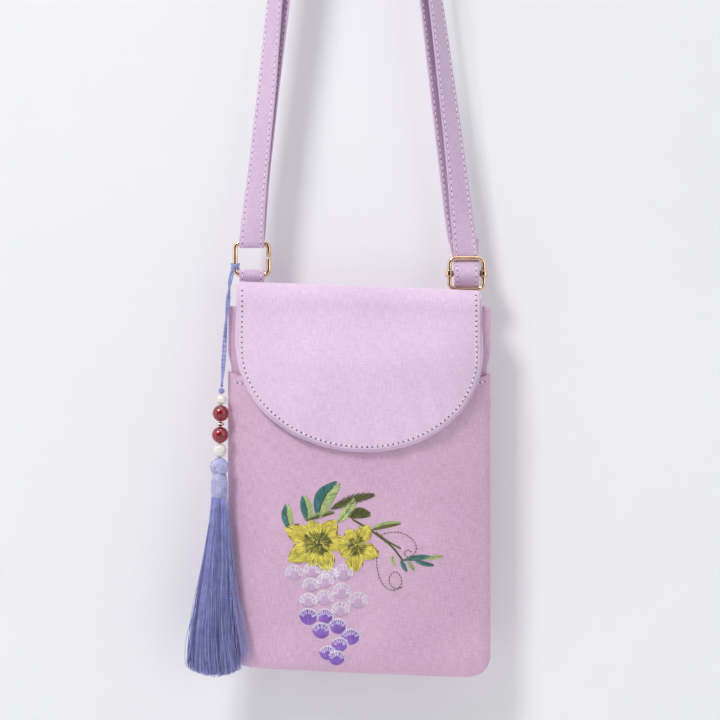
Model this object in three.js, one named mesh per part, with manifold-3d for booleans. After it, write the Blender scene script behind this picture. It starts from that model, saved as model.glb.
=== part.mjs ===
// Small cloth pouch with a curved flap, a front pocket, a doubled strap and a charm of beads and silk.
// It is shown hanging: the origin is the inside of the strap's top, where a peg carries it.
// Millimetres. X runs to the right, the front faces -Y, and Z is up.
import * as THREE from "three";
import { mergeVertices } from "three/addons/utils/BufferGeometryUtils.js";
import Module from "manifold-3d";

const wasm = await Module();
wasm.setup();

// Gaps
const CLEARANCE = 0.3; // between pieces that lie against each other
const DRAPE = 0.5; // between the flap and what it covers

// Strap and the peg that it hangs over
const STRAP_WIDTH = 11.9;
const STRAP_THICKNESS = 1.1;
const STRAP_DROP = 282.4; // peg centre to the ring's top bar
const PEG_RADIUS = 15;
const SEWN_LOOP = 17; // the strap's first end, from the slider's bar up to its seam
const SEWN_END = 21; // the other end, on the back, below the fold

// Pouch
const BODY_WIDTH = 125.2;
const BODY_HEIGHT = 172.7;
const BODY_DEPTH = 13;
const BODY_WALL = 1.4;
const BODY_CORNER = 9;
const BODY_SEAM = 3.8; // thickness along the bottom seam
const BOTTOM_SLOPE = 0.045; // the bottom drops to the right by this share
const RIM_DROP = 8.7; // fold to rim, at the middle

// Flap
const FLAP_INSET = 4.55; // side of the pouch to side of the flap
const FLAP_WIDTH = BODY_WIDTH - 2 * FLAP_INSET;
const FLAP_LENGTH = 77.6; // fold to the lowest point
const FLAP_SIDE = 30.3; // fold to the end of the straight sides
const FLAP_THICKNESS = 2.2;
const FLAP_BACK = 26; // length down the back
const FOLD_RISE = 9;
const FOLD_SLOPE = 0.038; // the fold drops to the right by this share

// Where the pouch hangs
const POUCH_OFFSET = 3.9; // pouch centre to the right of the hang point
const FASTENER_INSET = 6.6; // side of the flap to the middle of the ring or slider
const FASTENER_SPACING = FLAP_WIDTH - 2 * FASTENER_INSET;
const FASTENER_BACK = 4.8; // ring and slider behind the middle of the pouch

// Wire ring
const RING_WIDTH = 18.4;
const RING_HEIGHT = 17.6;
const RING_WIRE = 2.4;
const RING_CORNER = 3.8;
const RING_SPLIT = 0.5;
const RING_SPLIT_RISE = 0.7;

// Cloth tab under the ring
const TAB_WIDTH = 11.8;
const TAB_RISE = 4.6; // ring's bottom bar above the fold
const TAB_SEWN = 20;

// Slider
const SLIDER_WIDTH = 18.5;
const SLIDER_HEIGHT = 17;
const SLIDER_WIRE = 2.1;
const SLIDER_CORNER = 4.2;
const SLIDER_RISE = 9; // slider centre above the fold
const BAR_WIRE = 1.8;
const SLEEVE_WALL = 0.6;
const SLEEVE_HEIGHT = 3;

// Front pocket
const POCKET_DROP = 31.5; // rim to hem at the sides
const POCKET_DEPTH = 5.6; // how far the pocket stands open at the middle
const POCKET_WALL = 1.4;
const HEM_SAG = 3.5;

// Charm
const HITCH_HEIGHT = 2.2;
const HITCH_THICKNESS = 1.1;
const CORD_DIAMETER = 2.2;
// The cord's points from the middle of the ring
const CORD_ROUTE = [
  [-9.05, -2.8, -5.3],
  [-10.05, -4.4, -10.3],
  [-10.65, -6.4, -16.5],
  [-11.05, -7.9, -22.5],
  [-11.95, -8.5, -32],
  [-12.95, -9.5, -50],
  [-13.75, -10.4, -61.2],
];
const KNOT_DIAMETER = 3.2;
const THREAD_DIAMETER = 1;
const THREAD_FOOT = [-14.65, -13.4, -96]; // from the middle of the ring
const SMALL_PEARL = 4.9;
const RED_BEAD = 7.8;
const SPACER_DIAMETER = 3.5;
const SPACER_HEIGHT = 2;
const LARGE_PEARL = 6.5;
const TASSEL_LENGTH = 104.5;
const HEAD_DIAMETER = 8.8;
const NECK_DIAMETER = 7.4;
const NECK_LENGTH = 10.5;
const SKIRT_WIDTH = 28;
const SKIRT_DEPTH = 14;
const LOCK_DIAMETER = 6.4;
const LOCKS = 11;

// Resolution
const ROUND_SIDES = 14;
const WIRE_SIDES = 8;
const POUCH_SIDES = 40;

// Form of the pouch seen from above: |x|^SIDE_POWER and |y|^2 on a rounded section.
const SIDE_POWER = 2.6;

// Depth of the pouch down its height.
const BODY_FULLNESS = [
  { down: 0, depth: 0.72 },
  { down: 0.12, depth: 0.8 },
  { down: 0.3, depth: 0.94 },
  { down: 0.5, depth: 1 },
  { down: 0.78, depth: 0.97 },
  { down: 0.92, depth: 0.84 },
  { down: 1, depth: 0.7 },
];

// How far the pocket stands off the pouch down the pouch's height.
const POCKET_FULLNESS = [
  { down: 0, open: 1 },
  { down: 0.3, open: 1 },
  { down: 0.55, open: 0.75 },
  { down: 0.8, open: 0.45 },
  { down: 1, open: 0.2 },
  { down: 2, open: 0 },
];

// Each leg of the strap from its fastener up to the peg. Twist is in degrees. Spread is the distance
// between the two layers and shift the sideways slip of the back one, in strap thicknesses.
const LEFT_LEG = [
  { up: 0, twist: 4, spread: 3.73, shift: 0 },
  { up: 0.03, twist: 18, spread: 3.2, shift: -0.4 },
  { up: 0.105, twist: 32, spread: 2.4, shift: -0.8 },
  { up: 0.257, twist: 40, spread: 2.4, shift: -0.4 },
  { up: 0.408, twist: 50, spread: 4, shift: 0.3 },
  { up: 0.7, twist: 68, spread: 3.2, shift: 0.2 },
  { up: 1, twist: 90, spread: 1.28, shift: 0 },
];
const RIGHT_LEG = [
  { up: 0, twist: 4, spread: 1.5, shift: 0.3 },
  { up: 0.035, twist: 18, spread: 2.2, shift: 1.8 },
  { up: 0.167, twist: 36, spread: 3.8, shift: 1.4 },
  { up: 0.417, twist: 54, spread: 4.1, shift: 0.9 },
  { up: 0.7, twist: 72, spread: 3.2, shift: 0.4 },
  { up: 1, twist: 90, spread: 1.28, shift: 0 },
];

// Sections of the silk skirt, from the neck to the ends.
const SKIRT = [
  { down: 0, width: 0.27, depth: 0.5, shift: 0 },
  { down: 0.2, width: 0.37, depth: 0.62, shift: -0.02 },
  { down: 0.43, width: 0.61, depth: 0.8, shift: -0.07 },
  { down: 0.62, width: 0.8, depth: 0.92, shift: -0.09 },
  { down: 0.85, width: 1, depth: 1, shift: -0.1 },
  { down: 1, width: 0.92, depth: 0.96, shift: -0.1 },
];

const { lerp, clamp, smoothstep, degToRad } = THREE.MathUtils;
const X = new THREE.Vector3(1, 0, 0);
const Y = new THREE.Vector3(0, 1, 0);
const Z = new THREE.Vector3(0, 0, 1);
const vec = (x, y, z) => new THREE.Vector3(x, y, z);
const range = (n, f) => Array.from({ length: n }, (_, i) => f(i));

// Reads a column of a table between its rows.
function read(table, key, column, at) {
  let i = table.findIndex((row) => row[key] >= at);
  if (i === -1) i = table.length - 1;
  if (i === 0) return table[0][column];
  const a = table[i - 1];
  const b = table[i];
  const t = clamp((at - a[key]) / (b[key] - a[key]), 0, 1);
  return lerp(a[column], b[column], t);
}

// Turns a geometry's faces outward where they face in.
function outward(geometry) {
  const p = geometry.attributes.position;
  const index = geometry.index.array;
  const [a, b, c] = [vec(0, 0, 0), vec(0, 0, 0), vec(0, 0, 0)];
  let volume = 0;
  for (let i = 0; i < index.length; i += 3) {
    a.fromBufferAttribute(p, index[i]);
    b.fromBufferAttribute(p, index[i + 1]);
    c.fromBufferAttribute(p, index[i + 2]);
    volume += a.dot(b.cross(c));
  }
  if (volume < 0) {
    for (let i = 0; i < index.length; i += 3) {
      [index[i + 1], index[i + 2]] = [index[i + 2], index[i + 1]];
    }
  }
  geometry.computeVertexNormals();
  return geometry;
}

// Closed skin through rings of points. A ring runs along one side of the piece and back along the
// other, and the two end rings are closed by rungs from side to side.
function skin(rings) {
  const n = rings[0].length;
  const index = [];
  const quad = (a, b, c, d) => index.push(a, b, c, a, c, d);
  for (let r = 0; r + 1 < rings.length; r++) {
    for (let k = 0; k < n; k++) {
      const next = (k + 1) % n;
      quad(r * n + k, r * n + next, (r + 1) * n + next, (r + 1) * n + k);
    }
  }
  const last = (rings.length - 1) * n;
  for (let k = 0; k + 1 < n / 2; k++) {
    quad(k + 1, k, n - 1 - k, n - 2 - k);
    quad(last + k, last + k + 1, last + n - 2 - k, last + n - 1 - k);
  }
  const points = rings.flat().flatMap((p) => p.toArray());
  const geometry = new THREE.BufferGeometry();
  geometry.setAttribute("position", new THREE.Float32BufferAttribute(points, 3));
  geometry.setIndex(index);
  return outward(geometry);
}

// Flat strip along stations of { at, edge }: edge points across the strip to its inner edge.
function band(stations, width, thickness) {
  const rings = stations.map(({ at, edge }, i) => {
    const before = stations[Math.max(i - 1, 0)].at;
    const after = stations[Math.min(i + 1, stations.length - 1)].at;
    const along = after.clone().sub(before).normalize();
    const face = along.clone().cross(edge).normalize();
    const across = face.clone().cross(along);
    const corner = (w, t) =>
      at
        .clone()
        .addScaledVector(across, (w * width) / 2)
        .addScaledVector(face, (t * thickness) / 2);
    return [corner(-1, 1), corner(1, 1), corner(1, -1), corner(-1, -1)];
  });
  return skin(rings);
}

// Path of a strip that runs from circle to circle in the Y-Z plane, as points [y, z]. A circle of
// positive radius is passed with its centre on the right of the path, a radius of 0 is a plain point.
function belt(circles) {
  const normals = circles.slice(1).map((b, i) => {
    const a = circles[i];
    const d = new THREE.Vector2(b.y - a.y, b.z - a.z);
    return d.angle() + Math.acos((a.r - b.r) / d.length());
  });
  return circles.flatMap((c, i) => {
    const from = normals[Math.max(i - 1, 0)];
    let turn = normals[Math.min(i, normals.length - 1)] - from;
    turn -= Math.round(turn / (2 * Math.PI)) * 2 * Math.PI;
    if (c.r * turn > 0 && Math.abs(turn) > 1) turn -= Math.sign(turn) * 2 * Math.PI;
    const steps = c.r === 0 ? 0 : Math.max(1, Math.round(Math.abs(turn) / 0.4));
    return range(steps + 1, (k) => {
      const angle = from + (turn * k) / Math.max(steps, 1);
      return [c.y + c.r * Math.cos(angle), c.z + c.r * Math.sin(angle)];
    });
  });
}

// Round wire bent to a rounded rectangle in the X-Z plane, cut open by a split on its right side.
function wireFrame(width, height, corner, wire, split, rise) {
  const w = (width - wire) / 2;
  const h = (height - wire) / 2;
  const r = corner - wire / 2;
  const path = [[w, rise + split / 2]];
  const corners = [
    [w - r, h - r, 0],
    [r - w, h - r, 90],
    [r - w, r - h, 180],
    [w - r, r - h, 270],
  ];
  corners.forEach(([x, z, start]) => {
    for (let k = 0; k <= 4; k++) {
      const angle = degToRad(start + k * 22.5);
      path.push([x + r * Math.cos(angle), z + r * Math.sin(angle)]);
    }
  });
  path.push([w, rise - split / 2]);
  const closed = split === 0;
  const points = closed ? path.slice(1, -1) : path;
  const rings = points.map(([x, z], i) => {
    const n = points.length;
    const a = points[closed ? (i + n - 1) % n : Math.max(i - 1, 0)];
    const b = points[closed ? (i + 1) % n : Math.min(i + 1, n - 1)];
    const along = vec(b[0] - a[0], 0, b[1] - a[1]).normalize();
    const out = along.clone().cross(Y).negate();
    return range(WIRE_SIDES, (k) => {
      const angle = ((k + 0.5) * 2 * Math.PI) / WIRE_SIDES;
      return vec(x, 0, z)
        .addScaledVector(out, (Math.cos(angle) * wire) / 2)
        .addScaledVector(Y, (Math.sin(angle) * wire) / 2);
    });
  });
  if (!closed) return skin(rings);
  const n = WIRE_SIDES;
  const index = [];
  rings.forEach((_, r) => {
    const s = (r + 1) % rings.length;
    for (let k = 0; k < n; k++) {
      const next = (k + 1) % n;
      index.push(r * n + k, r * n + next, s * n + next, r * n + k, s * n + next, s * n + k);
    }
  });
  const geometry = new THREE.BufferGeometry();
  const flat = rings.flat().flatMap((p) => p.toArray());
  geometry.setAttribute("position", new THREE.Float32BufferAttribute(flat, 3));
  geometry.setIndex(index);
  return outward(geometry);
}

function solidOf(geometry) {
  const bare = geometry.clone();
  bare.deleteAttribute("normal");
  bare.deleteAttribute("uv");
  const merged = mergeVertices(bare, 1e-4);
  return new wasm.Manifold(
    new wasm.Mesh({
      numProp: 3,
      vertProperties: merged.attributes.position.array,
      triVerts: new Uint32Array(merged.index.array),
    }),
  );
}

function geometryOf(solid) {
  const made = solid.getMesh();
  const geometry = new THREE.BufferGeometry();
  geometry.setAttribute("position", new THREE.BufferAttribute(made.vertProperties, 3));
  geometry.setIndex(new THREE.BufferAttribute(made.triVerts, 1));
  geometry.computeVertexNormals();
  return geometry;
}

const part = new THREE.Group();
const cloth = { color: 0xcaa9c6, roughness: 0.9, metalness: 0 };
const flapCloth = { color: 0xe1cae2, roughness: 0.9, metalness: 0 };
const gold = { color: 0xd9b98c, roughness: 0.2, metalness: 1 };
const silk = { color: 0x7f80c4, roughness: 0.6, metalness: 0 };
const pearl = { color: 0xe4dbd0, roughness: 0.25, metalness: 0 };
const redGlass = { color: 0x96041c, roughness: 0.12, metalness: 0 };

function add(name, geometry, look) {
  const mesh = new THREE.Mesh(geometry, new THREE.MeshStandardMaterial(look));
  mesh.name = name;
  part.add(mesh);
  return mesh;
}

// Places that the pieces share
const ringX = POUCH_OFFSET - FASTENER_SPACING / 2;
const sliderX = POUCH_OFFSET + FASTENER_SPACING / 2;
const ringTop = -PEG_RADIUS - STRAP_DROP;
const ringBottom = ringTop - (RING_HEIGHT - RING_WIRE);
const ringMiddle = (ringTop + ringBottom) / 2;
const foldMiddle = ringBottom - TAB_RISE - (FOLD_SLOPE * FASTENER_SPACING) / 2;
const foldAt = (x) => foldMiddle - FOLD_SLOPE * (x - POUCH_OFFSET);
const sliderMiddle = foldAt(sliderX) + SLIDER_RISE;
const sliderTop = sliderMiddle + (SLIDER_HEIGHT - SLIDER_WIRE) / 2;
const sliderBottom = sliderMiddle - (SLIDER_HEIGHT - SLIDER_WIRE) / 2;
const rim = foldMiddle - RIM_DROP;

// Pouch form. A level is 0 at the rim, 1 where the bottom corners start and 2 at the bottom seam.
const straight = BODY_HEIGHT - BODY_CORNER;
const straightAt = (x) => straight + BOTTOM_SLOPE * (x - POUCH_OFFSET);
const hemLevel = POCKET_DROP / straight;
const pinch = POCKET_WALL + CLEARANCE;
const rounded = (u) => Math.sqrt(Math.max(0, 1 - Math.abs(u) ** SIDE_POWER));

// Half width, half depth and the corner's turn at a level, moved outward by an offset.
function pouchSection(level, offset) {
  const turn = (Math.max(level - 1, 0) * Math.PI) / 2;
  const inset = pinch * smoothstep(level, hemLevel - 0.06, hemLevel - 0.01);
  const depth = (read(BODY_FULLNESS, "down", "depth", Math.min(level, 1)) * BODY_DEPTH) / 2;
  const corner = BODY_CORNER + offset;
  const halfWidth = BODY_WIDTH / 2 - inset - BODY_CORNER;
  return {
    a: level > 1 ? halfWidth + corner * Math.cos(turn) : halfWidth + corner,
    b: lerp(BODY_SEAM / 2, depth, Math.cos(turn)) + offset,
    drop: corner * Math.sin(turn),
  };
}

// Point on the pouch's section: angle 0 is the right side, and the first half turn is the front.
function pouchPoint(angle, level, offset, open = 0) {
  const { a, b, drop } = pouchSection(level, offset);
  const u = Math.sign(Math.cos(angle)) * Math.abs(Math.cos(angle)) ** (2 / SIDE_POWER);
  const x = POUCH_OFFSET + a * u;
  const y = -b * Math.sin(angle) - open * (1 - Math.abs(u) ** 3);
  return vec(x, y, rim - Math.min(level, 1) * straightAt(x) - drop);
}

const pouchAngles = range(POUCH_SIDES, (k) => ((k + 0.5) * 2 * Math.PI) / POUCH_SIDES);
const pouchLevels = [
  ...range(9, (k) => k / 8),
  hemLevel - 0.06,
  hemLevel - 0.035,
  hemLevel - 0.01,
  ...range(4, (k) => 1 + (k + 1) / 4),
].sort((a, b) => a - b);

// Pouch: inner skin from the bottom up, over the rim and down the outside.
const pouchRing = (level, offset) => pouchAngles.map((t) => pouchPoint(t, level, offset));
add(
  "pouch",
  skin([
    ...pouchLevels.toReversed().map((level) => pouchRing(level, -BODY_WALL)),
    ...pouchLevels.map((level) => pouchRing(level, 0)),
  ]),
  cloth,
);

// Front pocket: front half of the pouch's section, standing off it.
const frontAngles = pouchAngles.slice(0, POUCH_SIDES / 2);
const hemShare = (angle) => {
  const u = Math.abs(Math.cos(angle)) ** (2 / SIDE_POWER);
  return hemLevel + (HEM_SAG * (1 - u ** 8)) / straight;
};
const openAt = (level) => POCKET_DEPTH * read(POCKET_FULLNESS, "down", "open", level);
function pocketPoint(angle, row, offset) {
  const level = row <= 1 ? lerp(hemShare(angle), 1, row) : row;
  return pouchPoint(angle, level, offset, openAt(level));
}
const pocketRows = [...range(11, (k) => k / 10), 1.25, 1.5, 1.75, 2];
add(
  "front_pocket",
  skin(
    pocketRows.map((row) => [
      ...frontAngles.map((t) => pocketPoint(t, row, CLEARANCE + POCKET_WALL)),
      ...frontAngles.toReversed().map((t) => pocketPoint(t, row, CLEARANCE)),
    ]),
  ),
  cloth,
);

// Distance of a surface in front of, or behind, the middle plane at x and a level.
function pouchReach(x, level, offset, open) {
  const { a, b } = pouchSection(level, offset);
  const u = (x - POUCH_OFFSET) / a;
  return b * rounded(u) + open * (1 - Math.abs(u) ** 3);
}
const levelAt = (x, z) => clamp((rim - z) / straightAt(x), 0, 1);
const pocketReach = (x, z) => {
  const level = Math.max(levelAt(x, z), hemLevel);
  return pouchReach(x, level, CLEARANCE + POCKET_WALL, openAt(level));
};

// Flap: down the front from the fold, and a short way down the back.
const foldStart = (x) => foldAt(x) - FOLD_RISE;
const flapBack = (x, z) => pouchReach(x, levelAt(x, z), 0, 0) + DRAPE;
function flapFront(x, z) {
  const hem = rim - POCKET_DROP;
  const t = smoothstep(foldStart(x) - z, 0, foldStart(x) - hem);
  return lerp(pouchReach(x, 0, 0, 0), pocketReach(x, Math.min(z, hem)), t) + DRAPE;
}
function flapEnd(x) {
  const u = clamp((x - POUCH_OFFSET) / (FLAP_WIDTH / 2), -1, 1);
  return foldAt(x) - FLAP_SIDE - (FLAP_LENGTH - FLAP_SIDE) * Math.sqrt(1 - u * u);
}
const flapPath = [
  ...range(4, (k) => ({ part: "back", t: k / 4 })),
  ...range(9, (k) => ({ part: "fold", t: k / 8 })),
  ...range(14, (k) => ({ part: "front", t: (k + 1) / 14 })),
];
function flapPoint(x, { part: where, t }, thickness) {
  const start = foldStart(x);
  const backReach = flapBack(x, start) + thickness;
  const frontReach = flapFront(x, start) + thickness;
  if (where === "back") {
    const z = lerp(foldAt(x) - FLAP_BACK, start, t);
    return vec(x, flapBack(x, z) + thickness, z);
  }
  if (where === "fold") {
    const angle = t * Math.PI;
    const middle = (backReach - frontReach) / 2;
    const half = (backReach + frontReach) / 2;
    const height = FOLD_RISE - FLAP_THICKNESS + thickness;
    return vec(x, middle + half * Math.cos(angle), start + height * Math.sin(angle));
  }
  const z = lerp(start, flapEnd(x), t);
  return vec(x, -flapFront(x, z) - thickness, z);
}
const flapColumns = range(23, (k) => {
  return POUCH_OFFSET - (FLAP_WIDTH / 2) * Math.cos((k * Math.PI) / 22);
});
add(
  "flap",
  skin(
    flapPath.map((station) => [
      ...flapColumns.map((x) => flapPoint(x, station, FLAP_THICKNESS)),
      ...flapColumns.toReversed().map((x) => flapPoint(x, station, 0)),
    ]),
  ),
  flapCloth,
);

// Ring, and the tab that holds it to the back of the flap.
const ring = add(
  "ring",
  wireFrame(RING_WIDTH, RING_HEIGHT, RING_CORNER, RING_WIRE, RING_SPLIT, RING_SPLIT_RISE),
  gold,
);
ring.position.set(ringX, FASTENER_BACK, ringMiddle);

const half = STRAP_THICKNESS / 2;
const layer = STRAP_THICKNESS + CLEARANCE;
const ringWrap = RING_WIRE / 2 + CLEARANCE + half;
const onFlap = (x, z) => flapBack(x, z) + FLAP_THICKNESS + CLEARANCE + half;

// Direction across a strip that lies on the back of the flap at x.
function acrossBack(x, sign) {
  const z = foldStart(x);
  return vec(2, onFlap(x + 1, z) - onFlap(x - 1, z), 0).normalize().multiplyScalar(sign);
}

// Turns a path's edge from straight across, above the fold, to the back's own slant below it.
function layOnBack(path, x, sign) {
  const back = acrossBack(x, sign);
  return path.map(([y, z]) => {
    const t = smoothstep(foldAt(x) - z, -1, FOLD_RISE);
    const edge = vec(sign, 0, 0).lerp(back, t).normalize();
    return { at: vec(x, y, z), edge };
  });
}

const tabEnd = foldAt(ringX) - TAB_SEWN;
const tabTurn = foldAt(ringX) - FOLD_RISE / 3;
const tabPath = belt([
  { y: onFlap(ringX, tabEnd), z: tabEnd, r: 0 },
  { y: onFlap(ringX, foldStart(ringX)), z: tabTurn, r: 0 },
  { y: FASTENER_BACK, z: ringBottom, r: ringWrap },
  { y: onFlap(ringX, foldStart(ringX)) + layer, z: tabTurn, r: 0 },
  { y: onFlap(ringX, tabEnd) + layer, z: tabEnd, r: 0 },
]);
add("ring_tab", band(layOnBack(tabPath, ringX, 1), TAB_WIDTH, STRAP_THICKNESS), cloth);

// Slider frame, and its bar with a sleeve round each side of the frame.
const frame = add(
  "slider_frame",
  wireFrame(SLIDER_WIDTH, SLIDER_HEIGHT, SLIDER_CORNER, SLIDER_WIRE, 0, 0),
  gold,
);
frame.position.set(sliderX, FASTENER_BACK, sliderMiddle);

const sleeveBore = SLIDER_WIRE / 2 + CLEARANCE;
const sideX = (SLIDER_WIDTH - SLIDER_WIRE) / 2;
const rod = new THREE.CylinderGeometry(BAR_WIRE / 2, BAR_WIRE / 2, 2 * sideX, ROUND_SIDES);
rod.rotateZ(Math.PI / 2);
let bar = solidOf(rod);
[-1, 1].forEach((side) => {
  const outer = sleeveBore + SLEEVE_WALL;
  const sleeve = new THREE.CylinderGeometry(outer, outer, SLEEVE_HEIGHT, ROUND_SIDES);
  sleeve.rotateX(Math.PI / 2);
  sleeve.translate(side * sideX, 0, 0);
  bar = bar.add(solidOf(sleeve));
});
[-1, 1].forEach((side) => {
  const bore = new THREE.CylinderGeometry(sleeveBore, sleeveBore, 2 * SLEEVE_HEIGHT, ROUND_SIDES);
  bore.rotateX(Math.PI / 2);
  bore.translate(side * sideX, 0, 0);
  bar = bar.subtract(solidOf(bore));
});
add("slider_bar", geometryOf(bar), gold).position.copy(frame.position);

// Strap. Both legs carry two layers: the front one is the outer one over the peg.
const outerRadius = PEG_RADIUS + half + layer;
const innerRadius = PEG_RADIUS + half;
const pegZ = -PEG_RADIUS;
function legPoint(side, up, isOuter) {
  const table = side < 0 ? LEFT_LEG : RIGHT_LEG;
  const twist = degToRad(read(table, "up", "twist", up));
  const spread = read(table, "up", "spread", up) * STRAP_THICKNESS;
  const shift = read(table, "up", "shift", up) * STRAP_THICKNESS;
  const low = side < 0 ? vec(ringX, FASTENER_BACK, ringTop) : vec(sliderX, 0, sliderTop);
  if (side > 0) low.y = FASTENER_BACK + sliderWrap + layer / 2;
  const high = vec((side * (innerRadius + outerRadius)) / 2, 0, pegZ);
  const face = vec(side * Math.sin(twist), -Math.cos(twist), 0);
  const edge = vec(-side * Math.cos(twist), -Math.sin(twist), 0);
  const at = low.lerp(high, up);
  at.addScaledVector(face, ((isOuter ? 1 : -1) * spread) / 2);
  if (!isOuter) at.addScaledVector(edge, shift);
  return { at, edge };
}
function pegArc(radius, from, to) {
  return range(13, (k) => {
    const angle = degToRad(lerp(from, to, (k + 0.5) / 13));
    const at = vec(radius * Math.cos(angle), 0, pegZ + radius * Math.sin(angle));
    return { at, edge: Y.clone().negate() };
  });
}
const sliderWrap = SLIDER_WIRE / 2 + CLEARANCE + half;
const barWrap = BAR_WIRE / 2 + CLEARANCE + half;
const legSteps = range(24, (k) => 0.035 + (0.965 * k) / 23);
const leg = (side, isOuter) => legSteps.map((up) => legPoint(side, up, isOuter));
const endOf = (side, isOuter) => {
  const { at } = legPoint(side, legSteps[0], isOuter);
  return { y: at.y, z: at.z, r: 0 };
};

// First end: sewn round the slider's bar, behind the top of the frame, then up.
const innerEnd = endOf(1, false);
const sewnTop = sliderMiddle + SEWN_LOOP;
const sewnY = lerp(FASTENER_BACK + sliderWrap + 2 * layer, innerEnd.y + layer, 0.9);
const loopPath = belt([
  { y: sewnY, z: sewnTop, r: 0 },
  { y: FASTENER_BACK, z: sliderTop, r: sliderWrap + 2 * layer },
  { y: FASTENER_BACK, z: sliderMiddle, r: barWrap },
  { y: FASTENER_BACK, z: sliderTop, r: -(sliderWrap + layer) },
  innerEnd,
]).slice(0, -1);
// Last end: behind the frame's top, over the bar, behind its bottom and down the back.
const strapEnd = foldAt(sliderX) - SEWN_END;
const strapTurn = foldAt(sliderX) - FOLD_RISE / 3;
const endPath = belt([
  endOf(1, true),
  { y: FASTENER_BACK, z: sliderTop, r: sliderWrap },
  { y: FASTENER_BACK, z: sliderMiddle, r: -(barWrap + layer) },
  { y: FASTENER_BACK, z: sliderBottom, r: sliderWrap },
  { y: onFlap(sliderX, foldStart(sliderX)), z: strapTurn, r: 0 },
  { y: onFlap(sliderX, strapEnd), z: strapEnd, r: 0 },
]).slice(1);
const ringPath = belt([
  endOf(-1, false),
  { y: FASTENER_BACK, z: ringTop, r: ringWrap },
  endOf(-1, true),
]).slice(1, -1);
add(
  "strap",
  band(
    [
      ...layOnBack(loopPath, sliderX, -1),
      ...leg(1, false),
      ...pegArc(innerRadius, 0, 180),
      ...leg(-1, false).toReversed(),
      ...ringPath.map(([y, z]) => ({ at: vec(ringX, y, z), edge: X })),
      ...leg(-1, true),
      ...pegArc(outerRadius, 180, 0),
      ...leg(1, true).toReversed(),
      ...layOnBack(endPath, sliderX, -1),
    ],
    STRAP_WIDTH,
    STRAP_THICKNESS,
  ),
  cloth,
);

// Hitch of the charm's cord on the ring's left side, just above the tab.
const lathe = (profile, sides = ROUND_SIDES) =>
  new THREE.LatheGeometry(
    profile.map(([r, z]) => new THREE.Vector2(r, z)),
    sides,
  ).rotateX(Math.PI / 2);
const hitchBore = RING_WIRE / 2 + CLEARANCE;
const hitchRim = hitchBore + HITCH_THICKNESS;
const bevel = HITCH_THICKNESS * 0.3;
const top = HITCH_HEIGHT / 2;
const hitch = add(
  "cord_hitch",
  lathe([
    [hitchBore, -top],
    [hitchRim - bevel, -top],
    [hitchRim, -top + bevel],
    [hitchRim, top - bevel],
    [hitchRim - bevel, top],
    [hitchBore, top],
    [hitchBore, -top],
  ]),
  silk,
);
const tabTop = ringBottom + ringWrap + half;
hitch.position.set(ringX - (RING_WIDTH - RING_WIRE) / 2, FASTENER_BACK, tabTop + CLEARANCE + top);

// Doubled cord from the hitch to the knot.
const fromRing = (p) => vec(...p).add(ring.position);
const cordCurve = new THREE.CatmullRomCurve3(CORD_ROUTE.map(fromRing));
const cordShape = new THREE.Shape(
  range(8, (k) => {
    const angle = (k * Math.PI) / 4;
    const r = CORD_DIAMETER / 2;
    return new THREE.Vector2(r * Math.cos(angle), r * Math.sin(angle));
  }),
);
add(
  "charm_cord",
  new THREE.ExtrudeGeometry(cordShape, { steps: 12, extrudePath: cordCurve, curveSegments: 1 }),
  silk,
);

// Beads on their thread, one under the other, each turned along the thread.
const cordEnd = fromRing(CORD_ROUTE.at(-1));
const down = fromRing(THREAD_FOOT).sub(cordEnd).normalize();
const threadTop = cordEnd.clone().addScaledVector(down, CLEARANCE);
const turnToThread = new THREE.Quaternion().setFromUnitVectors(Z.clone().negate(), down);
let hung = 0; // length of thread used so far

function hang(name, geometry, height, look) {
  const mesh = add(name, geometry, look);
  mesh.quaternion.copy(turnToThread);
  mesh.position.copy(threadTop).addScaledVector(down, hung + height / 2);
  hung += height + CLEARANCE;
  return mesh;
}

// Ball as a turned profile, drilled where bore is more than 0.
function ball(diameter, bore) {
  const r = diameter / 2;
  const edge = Math.asin(bore / r);
  const steps = bore > 0 ? 8 : 9;
  const arc = range(steps + 1, (k) => {
    const angle = lerp(edge, Math.PI - edge, k / steps);
    return [r * Math.sin(angle), -r * Math.cos(angle)];
  });
  if (bore === 0) {
    arc[0][0] = 0;
    arc[steps][0] = 0;
    return lathe(arc);
  }
  return lathe([...arc, arc[0]]);
}
const bore = THREAD_DIAMETER / 2 + CLEARANCE;
const drilledHeight = (diameter) => 2 * Math.sqrt((diameter / 2) ** 2 - bore ** 2);

hang("cord_knot", ball(KNOT_DIAMETER, 0), KNOT_DIAMETER, silk);
const threadStart = hung;
hang("pearl_small", ball(SMALL_PEARL, bore), drilledHeight(SMALL_PEARL), pearl);
hang("red_bead_upper", ball(RED_BEAD, bore), drilledHeight(RED_BEAD), redGlass);
const spacerHalf = SPACER_HEIGHT / 2;
const spacerSoft = SPACER_HEIGHT * 0.3;
hang(
  "spacer_bead",
  lathe([
    [bore, -spacerHalf],
    [SPACER_DIAMETER / 2 - spacerSoft, -spacerHalf],
    [SPACER_DIAMETER / 2, -spacerHalf + spacerSoft],
    [SPACER_DIAMETER / 2, spacerHalf - spacerSoft],
    [SPACER_DIAMETER / 2 - spacerSoft, spacerHalf],
    [bore, spacerHalf],
    [bore, -spacerHalf],
  ]),
  SPACER_HEIGHT,
  gold,
);
hang("red_bead_lower", ball(RED_BEAD, bore), drilledHeight(RED_BEAD), redGlass);
hang("pearl_large", ball(LARGE_PEARL, bore), drilledHeight(LARGE_PEARL), pearl);
const threadEnd = hung;
hung = threadStart;
const threadLength = threadEnd - threadStart - CLEARANCE;
hang(
  "bead_thread",
  lathe([
    [0, -threadLength / 2],
    [THREAD_DIAMETER / 2, -threadLength / 2],
    [THREAD_DIAMETER / 2, threadLength / 2],
    [0, threadLength / 2],
  ]),
  threadLength,
  silk,
);

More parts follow.
